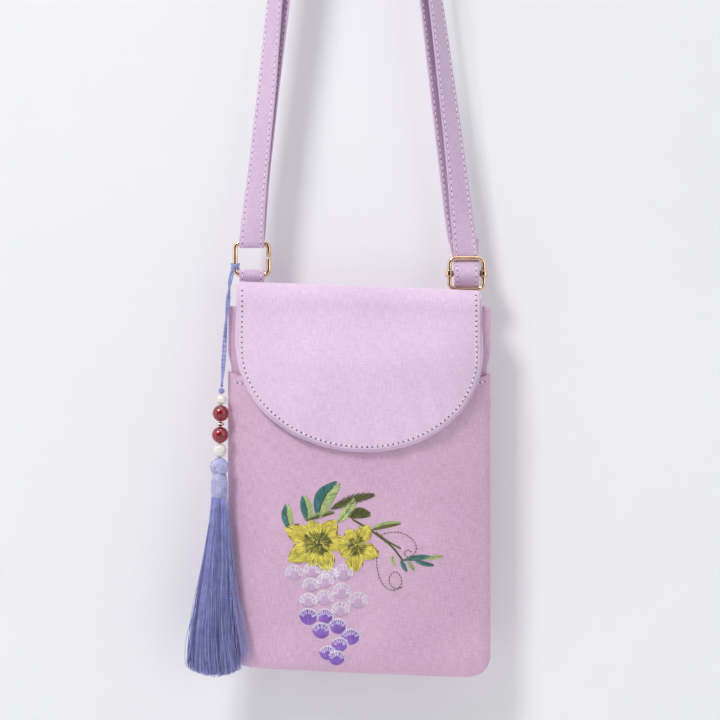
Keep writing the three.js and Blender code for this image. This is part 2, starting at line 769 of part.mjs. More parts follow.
// Tassel: wound head, neck, and a skirt of locks round a core.
const skirtLength = TASSEL_LENGTH - HEAD_DIAMETER - NECK_LENGTH;
const tasselTop = threadTop.clone().addScaledVector(down, threadEnd);
const skirtTop = -HEAD_DIAMETER - NECK_LENGTH;
function skirtSection(share) {
  return {
    x: read(SKIRT, "down", "shift", share) * SKIRT_WIDTH,
    a: (read(SKIRT, "down", "width", share) * SKIRT_WIDTH) / 2,
    b: (read(SKIRT, "down", "depth", share) * SKIRT_DEPTH) / 2,
    z: skirtTop - share * skirtLength,
  };
}
const ovalRing = (x, y, z, a, b, sides) =>
  range(sides, (k) => {
    const angle = ((k + 0.5) * 2 * Math.PI) / sides;
    return vec(x + a * Math.cos(angle), y + b * Math.sin(angle), z);
  });
const headProfile = ball(HEAD_DIAMETER, 0).translate(0, 0, -HEAD_DIAMETER / 2);
const core = range(8, (k) => {
  const { x, a, b, z } = skirtSection((k / 7) * 0.93);
  return ovalRing(x, 0, z, a * 0.72, b * 0.72, ROUND_SIDES);
});
const neck = range(6, (k) => {
  const z = lerp(-HEAD_DIAMETER * 0.8, skirtTop - 1, k / 5);
  const r = (NECK_DIAMETER / 2) * (k === 0 || k === 5 ? 0.92 : 1);
  return ovalRing(0, 0, z, r, r, ROUND_SIDES);
});
let tassel = solidOf(headProfile).add(solidOf(skin(neck))).add(solidOf(skin(core)));
for (let i = 0; i < LOCKS; i++) {
  const angle = (i * 2 * Math.PI) / LOCKS;
  const reach = 0.97 + 0.03 * Math.cos(i * 2.4);
  const rings = range(9, (k) => {
    const share = (k / 8) * reach;
    const { x, a, b, z } = skirtSection(share);
    const thick = (LOCK_DIAMETER / 2) * lerp(0.42, 1, Math.min(1, share * 1.5));
    const tip = k === 8 ? 0.55 : 1;
    const cx = x + (a - thick * 0.8) * Math.cos(angle);
    const cy = (b - thick * 0.8) * Math.sin(angle);
    return ovalRing(cx, cy, z, thick * 0.8 * tip, thick * 0.8 * tip, 8);
  });
  tassel = tassel.add(solidOf(skin(rings)));
}
add("tassel", geometryOf(tassel), silk).position.copy(tasselTop);

export default part;
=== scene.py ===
# %% [markdown]
# # A small cloth pouch with an embroidered pocket
# The pouch hangs by its doubled strap. Its hard parts are a wire ring, a slider and beads; the rest is
# cloth, thread and silk. The frame holds the size and place of every piece, and each piece here
# takes the place of its plain solid.

# %% Load the frame
import math
import random

import bpy
import numpy as np
from mathutils import Matrix, Vector


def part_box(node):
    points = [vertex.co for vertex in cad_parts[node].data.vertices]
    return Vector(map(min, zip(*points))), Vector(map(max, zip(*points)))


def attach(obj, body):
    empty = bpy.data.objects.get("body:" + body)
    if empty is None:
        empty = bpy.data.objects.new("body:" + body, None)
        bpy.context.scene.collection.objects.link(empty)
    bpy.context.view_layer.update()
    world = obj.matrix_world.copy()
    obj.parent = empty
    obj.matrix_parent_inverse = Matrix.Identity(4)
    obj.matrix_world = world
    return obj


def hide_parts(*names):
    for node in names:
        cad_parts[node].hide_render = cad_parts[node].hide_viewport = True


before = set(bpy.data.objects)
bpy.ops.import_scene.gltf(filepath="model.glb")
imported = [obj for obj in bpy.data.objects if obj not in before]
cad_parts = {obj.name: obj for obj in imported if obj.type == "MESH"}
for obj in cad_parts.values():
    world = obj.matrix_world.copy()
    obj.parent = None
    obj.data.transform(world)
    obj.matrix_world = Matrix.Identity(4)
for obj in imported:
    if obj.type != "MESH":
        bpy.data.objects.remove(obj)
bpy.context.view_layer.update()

print("nodes", sorted(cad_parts))

# %% [markdown]
# ## Camera
# The picture is taken straight from the front, from a good distance. One pixel is 0.477 mm at the
# pouch, and the hang point lies above the picture, so a place in the picture is a place in the frame.

# %% Camera
MM = 0.001
PICTURE = 720
PIXEL = 0.477 * MM
HANG_PX, HANG_PY = 351, -381
DISTANCE = 0.9
SENSOR = 36


def place(px, py):
    """A place of the picture, in pixels, as x and z in the frame."""
    return (px - HANG_PX) * PIXEL, (HANG_PY - py) * PIXEL


view_x, view_z = place(PICTURE / 2, PICTURE / 2)
bpy.ops.object.camera_add(location=(view_x, -DISTANCE, view_z), rotation=(math.pi / 2, 0, 0))
camera = bpy.context.object
camera.data.sensor_width = SENSOR
camera.data.lens = SENSOR * DISTANCE / (PICTURE * PIXEL)
bpy.context.scene.camera = camera
print("lens", round(camera.data.lens, 1), "mm")

# %% [markdown]
# ## Small helpers
# Each piece ends as points and faces with a UV. Operators work on what is selected, so a piece is
# always selected alone before one is run, and a modifier is applied as soon as it is set.

# %% A piece from points
TINY = 1e-12
MID_TINT = 0.5
SLIVER = 0.002 * MM


def in_mm(values, digits=1):
    return [round(float(v) / MM, digits) for v in values]


def run_of(points):
    """The distance walked along a line, at each of its points."""
    return np.concatenate([[0], np.cumsum(np.linalg.norm(np.diff(points, axis=0), axis=1))])


def corners(faces):
    return [v for face in faces for v in face]


def new_piece(name, verts, faces, layer_name, corner_uv):
    """A piece from its points and faces, with a UV for each corner of each face."""
    mesh = bpy.data.meshes.new(name)
    mesh.from_pydata(verts, [], faces)
    layer = mesh.uv_layers.new(name=layer_name)
    layer.data.foreach_set("uv", np.asarray(corner_uv, np.float32).ravel())
    mesh.update()
    piece = bpy.data.objects.new(name, mesh)
    bpy.context.collection.objects.link(piece)
    return piece


print("in millimetres", in_mm([MM, PIXEL], 3))

# %% Working on a piece
def only(*pieces):
    """Deselects everything and selects these pieces, the first one active."""
    bpy.ops.object.select_all(action="DESELECT")
    for piece in pieces:
        piece.select_set(True)
    bpy.context.view_layer.objects.active = pieces[0]


def in_edit(piece, operator, **settings):
    """Runs one operator on a whole piece in edit mode."""
    only(piece)
    bpy.ops.object.mode_set(mode="EDIT")
    bpy.ops.mesh.select_all(action="SELECT")
    operator(**settings)
    bpy.ops.object.mode_set(mode="OBJECT")


def without_slivers(piece):
    """Takes out the edges of almost no length that a bevel leaves at tight corners."""
    in_edit(piece, bpy.ops.mesh.dissolve_degenerate, threshold=SLIVER)


def apply_new(piece, kind, **settings):
    """Adds one modifier with its settings and applies it."""
    only(piece)
    modifier = piece.modifiers.new(kind.lower(), kind)
    for label, value in settings.items():
        setattr(modifier, label, value)
    bpy.ops.object.modifier_apply(modifier=modifier.name)


print("edges under", in_mm([SLIVER], 3), "mm are taken out")

# %% [markdown]
# ## Tubes and threads
# Cord, stitches, embroidery and silk are all threads: thin tubes along a few points. One helper
# makes a joined mesh of many of them, so a thousand threads are one piece. Each tube has its own
# stretch of UV, along it and round it, which its material reads.


# %% A mesh of many threads
def frames_along(points):
    """Directions along, and two across, at each point of a thread."""
    points = np.asarray(points, float)
    along = np.gradient(points, axis=0)
    along /= np.linalg.norm(along, axis=1)[:, None] + TINY
    across = np.zeros_like(points)
    guide = np.array([0.0, -1.0, 0.0]) if abs(along[0][1]) < 0.9 else np.array([1.0, 0, 0])
    for i, t in enumerate(along):
        guide = guide - t * guide.dot(t)
        guide /= np.linalg.norm(guide) + TINY
        across[i] = guide
    return along, across, np.cross(along, across)


def thread_mesh(name, threads, sides=6):
    """One joined mesh of tubes. A thread is (points, radius or radii, tint)."""
    verts, faces, uvs, tints = [], [], [], []
    angles = np.arange(sides) * 2 * math.pi / sides
    for points, radius, tint in threads:
        points = np.asarray(points, float)
        n = len(points)
        _, a, b = frames_along(points)
        radii = np.broadcast_to(np.asarray(radius, float), (n,))
        turns = np.cos(angles)[None, :, None] * a[:, None] + np.sin(angles)[None, :, None] * b[:, None]
        ring = points[:, None] + radii[:, None, None] * turns
        base = len(verts)
        verts.extend(ring.reshape(-1, 3).tolist())
        length = run_of(points)
        for i in range(n - 1):
            near, far = base + i * sides, base + (i + 1) * sides
            start, end = length[i], length[i + 1]
            for k in range(sides):
                m = (k + 1) % sides
                faces.append((near + k, near + m, far + m, far + k))
                u, v = k / sides, (k + 1) / sides
                uvs += [(start, u), (start, v), (end, v), (end, u)]
                tints += [tint] * 4
        faces.append(tuple(base + k for k in reversed(range(sides))))
        faces.append(tuple(base + (n - 1) * sides + k for k in range(sides)))
        uvs += [(0, 0)] * sides + [(length[-1], 0)] * sides
        tints += [tint] * (2 * sides)
    piece = new_piece(name, verts, faces, "along", uvs)
    mesh = piece.data
    colour = mesh.attributes.new("tint", "FLOAT", "CORNER")
    colour.data.foreach_set("value", np.asarray(tints, np.float32))
    mesh.polygons.foreach_set("use_smooth", [True] * len(mesh.polygons))
    return piece


print("a straight line runs", frames_along([(0, 0, 0), (0, 0, -MM)])[0][0])

# %% Smooth lines
def smooth_path(points, count):
    """A smooth curve through a few points, as count points."""
    p = np.asarray(points, float)
    p = np.vstack([2 * p[0] - p[1], p, 2 * p[-1] - p[-2]])
    out = []
    spans = len(p) - 3
    for s in np.linspace(0, spans, count):
        i = min(int(s), spans - 1)
        t = s - i
        a, b, c, d = p[i : i + 4]
        bend = (2 * a - 5 * b + 4 * c - d) * t**2 + (3 * b - a - 3 * c + d) * t**3
        out.append(0.5 * (2 * b + (c - a) * t + bend))
    return np.array(out)


print("a smooth line", smooth_path([(0, 0), (1, 1), (2, 0)], 5).round(2).tolist())

# %% [markdown]
# ## The charm's cord
# A thin cord is doubled through the ring and hangs down beside the pouch to the beads. It is the one
# free cord of the piece, so its route comes first: the points that the frame's tube follows. The
# two halves lie side by side and turn a little round each other, and each is a twist of two plies.

# %% Cord route and strands
CORD_ROUTE = [
    (-56.6, 2.0, -310.3),
    (-57.6, 0.4, -315.3),
    (-58.2, -1.6, -321.5),
    (-58.6, -3.1, -327.5),
    (-59.5, -3.7, -337),
    (-60.5, -4.7, -355),
    (-61.3, -5.6, -366.2),
]
cord_line = smooth_path(np.array(CORD_ROUTE) * MM, 120)
HALF_OFFSET, HALF_TURNS, HALF_START = 0.58 * MM, 1.5, 0.4
PLY_OFFSET, PLY_TURNS, PLY_RADIUS = 0.28 * MM, 26, 0.34 * MM


def turned(line, radius, turns, start):
    """A line that winds round another one at a radius."""
    _, a, b = frames_along(line)
    angle = start + np.linspace(0, 2 * math.pi * turns, len(line))
    return line + radius * (np.cos(angle)[:, None] * a + np.sin(angle)[:, None] * b)


plies = []
for half in (0, 1):
    centre = turned(cord_line, HALF_OFFSET, HALF_TURNS, math.pi * half + HALF_START)
    for ply in (0, 1):
        plies.append((turned(centre, PLY_OFFSET, PLY_TURNS, math.pi * ply), PLY_RADIUS, MID_TINT))
charm_cord_strands = thread_mesh("charm_cord_strands", plies, 7)

# %% [markdown]
# ## The form of the pouch
# The pouch is two flat cloths sewn together, so its section is a rounded lens that is widest at the
# middle. Its sizes are those of the frame. A level is 0 at the rim, 1 where the bottom corners
# start and 2 at the bottom seam, and one formula gives each point of the body and the pocket.

# %% Sizes of the pouch
POUCH_OFFSET = 3.9 * MM
BODY_WIDTH = 125.2 * MM
BODY_HEIGHT = 172.7 * MM
BODY_DEPTH = 13 * MM
BODY_CORNER = 9 * MM
BODY_SEAM = 2.4 * MM
BOTTOM_SLOPE = 0.045
POCKET_DROP = 31.5 * MM
POCKET_DEPTH = 5.6 * MM
POCKET_WALL = 1.4 * MM
CLEARANCE = 0.3 * MM
HEM_SAG = 3.5 * MM
SIDE_POWER = 2.6
FOLD_SLOPE = 0.038
FLAP_WIDTH = 116.1 * MM
FLAP_LENGTH = 77.6 * MM
FLAP_SIDE = 30.3 * MM
FLAP_THICKNESS = 2.2 * MM
FLAP_BACK = 26 * MM
FOLD_RISE = 9 * MM
DRAPE = 0.5 * MM
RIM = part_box("pouch")[1][2]
FOLD_MIDDLE = RIM + 8.7 * MM
STRAIGHT = BODY_HEIGHT - BODY_CORNER
HEM_LEVEL = POCKET_DROP / STRAIGHT
PINCH = POCKET_WALL + CLEARANCE
CLOTH_WALL = 1.2 * MM
BODY_FULLNESS = [(0, 0.72), (0.12, 0.8), (0.3, 0.94), (0.5, 1), (0.78, 0.97), (0.92, 0.84), (1, 0.7)]
POCKET_FULLNESS = [(0, 1), (0.3, 1), (0.55, 0.75), (0.8, 0.45), (1, 0.2), (2, 0)]
print("pouch", in_mm([BODY_WIDTH, BODY_HEIGHT, BODY_DEPTH]), "flap", in_mm([FLAP_WIDTH, FLAP_LENGTH]))

# %% Section of the pouch
def read(table, at):
    """A table's value, eased over its rows."""
    rows = np.array(table)
    taps = at + np.linspace(-0.05, 0.05, 7)
    return float(np.interp(taps, rows[:, 0], rows[:, 1]).mean())


def ease(t):
    t = min(max(t, 0.0), 1.0)
    return t * t * (3 - 2 * t)


def section(level, offset):
    """Half width, half depth and the drop round the bottom corner at a level."""
    turn = max(level - 1, 0) * math.pi / 2
    inset = PINCH * ease((level - HEM_LEVEL + 0.06) / 0.05)
    depth = read(BODY_FULLNESS, min(level, 1)) * BODY_DEPTH / 2
    corner = BODY_CORNER + offset
    half = BODY_WIDTH / 2 - inset - BODY_CORNER + (corner * math.cos(turn) if level > 1 else corner)
    seam = BODY_SEAM / 2
    return half, seam + (depth - seam) * math.cos(turn) + offset, corner * math.sin(turn)


def straight_at(x):
    return STRAIGHT + BOTTOM_SLOPE * (x - POUCH_OFFSET)


def pouch_point(angle, level, offset, stand=0.0):
    """A point of the section: angle 0 is the right side, the first half turn is the front."""
    half, depth, drop = section(level, offset)
    c = math.cos(angle)
    u = math.copysign(abs(c) ** (2 / SIDE_POWER), c)
    x = POUCH_OFFSET + half * u
    y = -depth * math.sin(angle) - stand * (1 - abs(u) ** 3)
    return x, y, RIM - min(level, 1) * straight_at(x) - drop


def reach(x, level, offset, stand):
    """How far a surface lies in front of, or behind, the middle plane."""
    half, depth, _ = section(level, offset)
    u = min(abs((x - POUCH_OFFSET) / half), 1)
    return depth * math.sqrt(max(0, 1 - u**SIDE_POWER)) + stand * (1 - u**3)


def level_at(x, z):
    return min(max((RIM - z) / straight_at(x), 0), 1)


def stand_at(level):
    return POCKET_DEPTH * read(POCKET_FULLNESS, level)


print("rim at", in_mm([RIM]), "mm, pocket hem at level", round(HEM_LEVEL, 3))


# %% [markdown]
# ## Cloth panels
# A cloth panel is a fine net of points on its form, with a UV in metres so that the weave keeps its
# scale, and Solidify gives it the thickness of a folded and sewn cloth. Soft cloth is never quite
# even: broad dents, and short puckers where a seam gathers it, are added to the form itself.


# %% Dents and puckers
def dents(x, z, height):
    """Broad, shallow unevenness of hanging cloth."""
    a = math.sin(x * 61 + 2.1 * math.sin(z * 37)) * math.sin(z * 53 + 1.7)
    b = math.sin(x * 143 + z * 71 + 0.6) * math.sin(z * 101 - x * 37)
    return height * (0.65 * a + 0.35 * b)


def pucker(along, away, pitch, fade, height):
    """Short gathers that run away from a seam."""
    wave = math.sin(2 * math.pi * along / pitch + 1.3 * math.sin(along * 90))
    return height * math.exp(-max(away, 0) / fade) * wave


print("a dent", in_mm([dents(0, view_z, MM)], 3), "mm of 1 mm")

# %% Panels
def panel(name, rows, wall, closed=False, bottom=False):
    """A cloth panel through rows of points, thickened inward."""
    grid = np.array(rows, float)
    n, m = grid.shape[:2]
    faces = []
    wide = m if closed else m - 1
    for r in range(n - 1):
        for k in range(wide):
            q = (k + 1) % m
            faces.append((r * m + k, r * m + q, (r + 1) * m + q, (r + 1) * m + k))
    if bottom:
        base = (n - 1) * m
        for k in range(m // 2 - 1):
            faces.append((base + k, base + k + 1, base + m - 2 - k, base + m - 1 - k))
    steps = np.cumsum(np.linalg.norm(np.diff(grid, axis=1), axis=2), axis=1)
    across = np.concatenate([np.zeros((n, 1)), steps], axis=1)
    across -= across.mean(axis=1)[:, None]
    down = np.concatenate([[0], np.cumsum(np.linalg.norm(np.diff(grid, axis=0), axis=2).mean(axis=1))])
    uv = np.stack([across, np.broadcast_to(down[:, None], (n, m))], axis=2).reshape(-1, 2)
    piece = new_piece(name, grid.reshape(-1, 3).tolist(), faces, "cloth", uv[corners(faces)])
    apply_new(piece, "SOLIDIFY", thickness=wall, offset=-1)
    apply_new(
        piece, "BEVEL", width=wall * 0.3, segments=2, limit_method="ANGLE", angle_limit=math.radians(50)
    )
    without_slivers(piece)
    bpy.ops.object.shade_smooth()
    return piece


print("cloth wall", in_mm([CLOTH_WALL]))

# %% [markdown]
# ## The pouch
# The body is a hollow bag, open at the top under the flap. Its sides pull in a little where the pocket
# is sewn over them, and the sewn side edges pucker.


# %% Body of the pouch
def body_point(angle, level):
    x, y, z = pouch_point(angle, level, 0)
    edge = abs(math.cos(angle))
    side = 1 - abs((x - POUCH_OFFSET) / (BODY_WIDTH / 2))
    swell = dents(x * 0.9, z + 0.05, 0.35 * MM) * (1 - edge)
    swell += pucker(z, side * BODY_WIDTH / 2, 7 * MM, 5 * MM, 0.12 * MM)
    return x, y - math.copysign(swell, math.sin(angle)), z


BODY_COLUMNS = 220
body_angles = (np.arange(BODY_COLUMNS) + 0.5) * 2 * math.pi / BODY_COLUMNS
round_levels = 1 + np.linspace(0.05, 1, 20)
body_levels = np.concatenate([np.linspace(0, 1, 90), round_levels])
body_rows = [[body_point(a, level) for a in body_angles] for level in body_levels]
pouch_body = panel("pouch_body", body_rows, CLOTH_WALL, closed=True, bottom=True)
print("pouch_body", len(pouch_body.data.polygons), "faces")

# %% [markdown]
# ## The front pocket
# The pocket is one cloth over the lower front. Its hem is turned in and stitched, it sags between the
# two sides, and it is pulled flat at the side and bottom seams, where it puckers.


# %% Pocket surface and panel
POCKET_FACE = CLEARANCE + POCKET_WALL
HEM_RISE = 0.35 * MM
HEM_DEPTH = 3.2 * MM


def pocket_lift(x, z):
    """What the cloth's unevenness adds in front of the pocket's plain form."""
    u = (x - POUCH_OFFSET) / (BODY_WIDTH / 2)
    side = (1 - abs(u)) * BODY_WIDTH / 2
    bottom = z - (RIM - BODY_HEIGHT - BOTTOM_SLOPE * (x - POUCH_OFFSET))
    calm = ease(side / (12 * MM)) * ease(bottom / (14 * MM))
    lift = dents(x, z, 0.7 * MM) * calm
    lift += pucker(z, side, 6.5 * MM, 6 * MM, 0.16 * MM) * ease(bottom / (10 * MM))
    lift += pucker(x, bottom, 7.5 * MM, 7 * MM, 0.22 * MM)
    return lift


def hem_level(angle):
    u = abs(math.cos(angle)) ** (2 / SIDE_POWER)
    return HEM_LEVEL + HEM_SAG * (1 - u**8) / STRAIGHT


def pocket_point(angle, row):
    level = hem_level(angle) + (1 - hem_level(angle)) * row if row <= 1 else row
    x, y, z = pouch_point(angle, level, POCKET_FACE, stand_at(level))
    below_hem = row * STRAIGHT
    turned_in = HEM_RISE * (1 - ease((below_hem - HEM_DEPTH) / (1.2 * MM)))
    return x, y - pocket_lift(x, z) - turned_in * math.sin(angle), z


def on_pocket(x, z, lift):
    """The point of the pocket's face at x and z, lifted off it."""
    level = level_at(x, z)
    y = -reach(x, level, POCKET_FACE, stand_at(level)) - pocket_lift(x, z) - lift
    return x, y, z


HEM_BAND = 0.045
front_angles = np.linspace(0.0, math.pi, 170)
band_levels = np.linspace(0, HEM_BAND, 12)[:-1]
row_levels = np.concatenate([band_levels, np.linspace(HEM_BAND, 1, 110), round_levels])
pocket_rows = [[pocket_point(a, row) for a in front_angles] for row in row_levels]
front_pocket_cloth = panel("front_pocket_cloth", pocket_rows, CLOTH_WALL)
print("front_pocket_cloth", len(front_pocket_cloth.data.polygons), "faces")

# %% [markdown]
# ## The flap
# The flap is two cloths: a backing that shows as a thin edge, and a front one that ends a little
# inside it. It comes up the back, turns over the top in a soft fold and hangs on the pocket. Near its
# round edge the stitching draws it into short waves.


# %% Flap surface
def fold_at(x):
    return FOLD_MIDDLE - FOLD_SLOPE * (x - POUCH_OFFSET)


def fold_start(x):
    return fold_at(x) - FOLD_RISE


def flap_back(x, z):
    return reach(x, level_at(x, z), 0, 0) + DRAPE


def flap_front(x, z):
    hem = RIM - POCKET_DROP
    t = ease((fold_start(x) - z) / (fold_start(x) - hem))
    low = min(z, hem)
    level = max(level_at(x, low), HEM_LEVEL)
    far = reach(x, level, POCKET_FACE, stand_at(level))
    near = reach(x, 0, 0, 0)
    return near + (far - near) * t + DRAPE


def flap_end(x, inset=0.0):
    """Height of the flap's lower edge, or of a line at some distance inside it."""
    half = FLAP_WIDTH / 2 - inset
    u = min(max((x - POUCH_OFFSET) / half, -1), 1)
    return fold_at(x) - FLAP_SIDE - (FLAP_LENGTH - FLAP_SIDE - inset) * math.sqrt(max(0, 1 - u * u))


def flap_lift(x, z):
    away = z - flap_end(x)
    folds = dents(1.7 * x - 0.05, 0.22 * z, 0.7 * MM) * (1 - ease(away / (58 * MM)))
    wave = folds + pucker(x + 0.3 * z, away, 13 * MM, 14 * MM, 0.42 * MM)
    return dents(x + 0.02, z * 1.1, 0.75 * MM) * ease((fold_start(x) - z) / (20 * MM)) + wave


def flap_point(x, where, t, thick, inset):
    start = fold_start(x)
    back = flap_back(x, start) + thick
    front = flap_front(x, start) + thick
    if where == "back":
        z = fold_at(x) - FLAP_BACK + (start - fold_at(x) + FLAP_BACK) * t
        return x, flap_back(x, z) + thick, z
    if where == "fold":
        angle = t * math.pi
        y = (back - front) / 2 + (back + front) / 2 * math.cos(angle)
        return x, y, start + (FOLD_RISE - FLAP_THICKNESS + thick) * math.sin(angle)
    z = start + (flap_end(x, inset) - start) * t
    return x, -flap_front(x, z) - thick - flap_lift(x, z), z


print("flap ends at", in_mm([flap_end(POUCH_OFFSET)]))

# %% Two layers of the flap
def flap_layer(name, thick, wall, inset):
    half = FLAP_WIDTH / 2 - inset
    columns = POUCH_OFFSET + half * np.sin(np.linspace(-math.pi / 2, math.pi / 2, 121))
    path = [("back", t) for t in np.linspace(0, 1, 14)[:-1]]
    path += [("fold", t) for t in np.linspace(0, 1, 25)[:-1]]
    path += [("front", t) for t in np.linspace(0, 1, 80)]
    rows = [[flap_point(x, where, t, thick, inset) for x in columns] for where, t in path]
    return panel(name, rows, wall)


BACKING_THICKNESS, FACE_INSET = 1.1 * MM, 1.1 * MM
flap_backing = flap_layer("flap_backing", BACKING_THICKNESS, 1.0 * MM, 0)
flap_face = flap_layer("flap_face", FLAP_THICKNESS, 1.05 * MM, FACE_INSET)
print("flap", len(flap_backing.data.polygons), "and", len(flap_face.data.polygons), "faces")

# %% [markdown]
# ## Strap
# The strap is one long strip of cloth, folded and stitched along both edges. It starts in a loop sewn
# round the slider's bar, goes up and over the peg as the inner layer, down and round the ring, up again
# as the outer layer, and through the slider onto the back. Below the peg both layers turn by a
# quarter, so the strip is laid along stations that each give a place and the direction across it.

# %% Strap sizes and tables
STRAP_WIDTH = 11.9 * MM
STRAP_THICKNESS = 1.1 * MM
STRAP_DROP = 282.4 * MM
PEG_RADIUS = 15 * MM
PEG_STEPS = 25
SEWN_LOOP = 17 * MM
SEWN_END = 21 * MM
FASTENER_SPACING = 102.9 * MM
FASTENER_BACK = 4.8 * MM
RING_WIDTH, RING_HEIGHT, RING_WIRE, RING_CORNER = 18.4 * MM, 17.6 * MM, 2.4 * MM, 3.8 * MM
RING_SPLIT, RING_SPLIT_RISE = 0.5 * MM, 0.7 * MM
TAB_WIDTH, TAB_RISE, TAB_SEWN = 11.8 * MM, 4.6 * MM, 20 * MM
SLIDER_WIDTH, SLIDER_HEIGHT, SLIDER_WIRE, SLIDER_CORNER = 18.5 * MM, 17 * MM, 2.1 * MM, 4.2 * MM
SLIDER_RISE = 9 * MM
BAR_WIRE, SLEEVE_WALL, SLEEVE_HEIGHT = 1.8 * MM, 0.6 * MM, 3 * MM
# up the leg, twist in degrees, spread of the layers and slip of the back one in strap thicknesses
LEFT_LEG = [
    (0, 4, 3.73, 0),
    (0.03, 18, 3.2, -0.4),
    (0.105, 32, 2.4, -0.8),
    (0.257, 40, 2.4, -0.4),
    (0.408, 50, 4, 0.3),
    (0.7, 68, 3.2, 0.2),
    (1, 90, 1.28, 0),
]
RIGHT_LEG = [
    (0, 4, 1.5, 0.3),
    (0.035, 18, 2.2, 1.8),
    (0.167, 36, 3.8, 1.4),
    (0.417, 54, 4.1, 0.9),
    (0.7, 72, 3.2, 0.4),
    (1, 90, 1.28, 0),
]
ring_x = POUCH_OFFSET - FASTENER_SPACING / 2
slider_x = POUCH_OFFSET + FASTENER_SPACING / 2
ring_top = -PEG_RADIUS - STRAP_DROP
ring_bottom = ring_top - (RING_HEIGHT - RING_WIRE)
slider_middle = fold_at(slider_x) + SLIDER_RISE
slider_top = slider_middle + (SLIDER_HEIGHT - SLIDER_WIRE) / 2
slider_bottom = 2 * slider_middle - slider_top
HALF = STRAP_THICKNESS / 2
LAYER = STRAP_THICKNESS + CLEARANCE
ring_wrap = RING_WIRE / 2 + CLEARANCE + HALF
slider_wrap = SLIDER_WIRE / 2 + CLEARANCE + HALF
bar_wrap = BAR_WIRE / 2 + CLEARANCE + HALF
print("ring top and slider", in_mm([ring_top, slider_middle]))


# %% Paths round the fittings
def belt(circles, step=0.18):
    """A path that runs from circle to circle in the Y-Z plane: (y, z, radius) each."""
    normals = []
    for (y0, z0, r0), (y1, z1, r1) in zip(circles, circles[1:]):
        d = math.hypot(y1 - y0, z1 - z0)
        normals.append(math.atan2(z1 - z0, y1 - y0) + math.acos((r0 - r1) / d))
    path = []
    for i, (y, z, r) in enumerate(circles):
        start = normals[max(i - 1, 0)]
        turn = normals[min(i, len(normals) - 1)] - start
        turn -= round(turn / (2 * math.pi)) * 2 * math.pi
        if r * turn > 0 and abs(turn) > 1:
            turn -= math.copysign(2 * math.pi, turn)
        steps = 0 if r == 0 else max(1, round(abs(turn) / step))
        for k in range(steps + 1):
            a = start + turn * k / max(steps, 1)
            path.append((y + r * math.cos(a), z + r * math.sin(a)))
    return path


def on_back(x, z):
    return flap_back(x, z) + FLAP_THICKNESS + CLEARANCE + HALF


def lay_on_back(path, x, sign):
    """Stations of a path whose lower part lies on the back of the flap."""
    z0 = fold_start(x)
    back = Vector((2 * MM, on_back(x + MM, z0) - on_back(x - MM, z0), 0)).normalized() * sign
    out = []
    for y, z in path:
        t = ease((fold_at(x) - z + MM) / (FOLD_RISE + MM))
        out.append((Vector((x, y, z)), Vector((sign, 0, 0)).lerp(back, t).normalized()))
    return out


print("strap behind the flap at", in_mm([on_back(slider_x, fold_start(slider_x))]))

# %% Legs and peg
def leg_point(side, up, outer):
    rows = np.array(LEFT_LEG if side < 0 else RIGHT_LEG)
    taps = np.clip(up + np.linspace(-0.03, 0.03, 5), 0, 1)
    twist, spread, slip = (float(np.interp(taps, rows[:, 0], rows[:, c]).mean()) for c in (1, 2, 3))
    twist = math.radians(twist)
    low = Vector((ring_x, FASTENER_BACK, ring_top))
    if side > 0:
        low = Vector((slider_x, FASTENER_BACK + slider_wrap + LAYER / 2, slider_top))
    high = Vector((side * (PEG_RADIUS + HALF + LAYER / 2), 0, -PEG_RADIUS))
    face = Vector((side * math.sin(twist), -math.cos(twist), 0))
    edge = Vector((-side * math.cos(twist), -math.sin(twist), 0))
    at = low.lerp(high, up) + face * (1 if outer else -1) * spread * STRAP_THICKNESS / 2
    if not outer:
        at += edge * slip * STRAP_THICKNESS
    return at, edge


def peg_arc(radius, start, end):
    out = []
    for k in range(PEG_STEPS):
        a = math.radians(start + (end - start) * (k + 0.5) / PEG_STEPS)
        at = Vector((radius * math.cos(a), 0, -PEG_RADIUS + radius * math.sin(a)))
        out.append((at, Vector((0, -1, 0))))
    return out


LEG_STEPS = np.linspace(0.035, 1, 110)


def leg(side, outer):
    return [leg_point(side, float(up), outer) for up in LEG_STEPS]


def end_of(side, outer):
    at, _ = leg_point(side, float(LEG_STEPS[0]), outer)
    return at.y, at.z, 0


print("stations in a leg", len(LEG_STEPS))

# %% The strap's stations
inner_y = end_of(1, False)[0]
sewn_y = FASTENER_BACK + slider_wrap + 2 * LAYER
sewn_y += 0.9 * (inner_y + LAYER - sewn_y)
loop_path = belt(
    [
        (sewn_y, slider_middle + SEWN_LOOP, 0),
        (FASTENER_BACK, slider_top, slider_wrap + 2 * LAYER),
        (FASTENER_BACK, slider_middle, bar_wrap),
        (FASTENER_BACK, slider_top, -(slider_wrap + LAYER)),
        end_of(1, False),
    ]
)[:-1]
end_path = belt(
    [
        end_of(1, True),
        (FASTENER_BACK, slider_top, slider_wrap),
        (FASTENER_BACK, slider_middle, -(bar_wrap + LAYER)),
        (FASTENER_BACK, slider_bottom, slider_wrap),
        (on_back(slider_x, fold_start(slider_x)), fold_at(slider_x) - FOLD_RISE / 3, 0),
        (on_back(slider_x, fold_at(slider_x) - SEWN_END), fold_at(slider_x) - SEWN_END, 0),
    ]
)[1:]
ring_path = belt([end_of(-1, False), (FASTENER_BACK, ring_top, ring_wrap), end_of(-1, True)])[1:-1]
strap_stations = [
    *lay_on_back(loop_path, slider_x, -1),
    *leg(1, False),
    *peg_arc(PEG_RADIUS + HALF, 0, 180),
    *reversed(leg(-1, False)),
    *[(Vector((ring_x, y, z)), Vector((1, 0, 0))) for y, z in ring_path],
    *leg(-1, True),
    *peg_arc(PEG_RADIUS + HALF + LAYER, 180, 0),
    *reversed(leg(1, True)),
    *lay_on_back(end_path, slider_x, -1),
]
foldtop = fold_at(ring_x)
tab_y = on_back(ring_x, fold_start(ring_x))
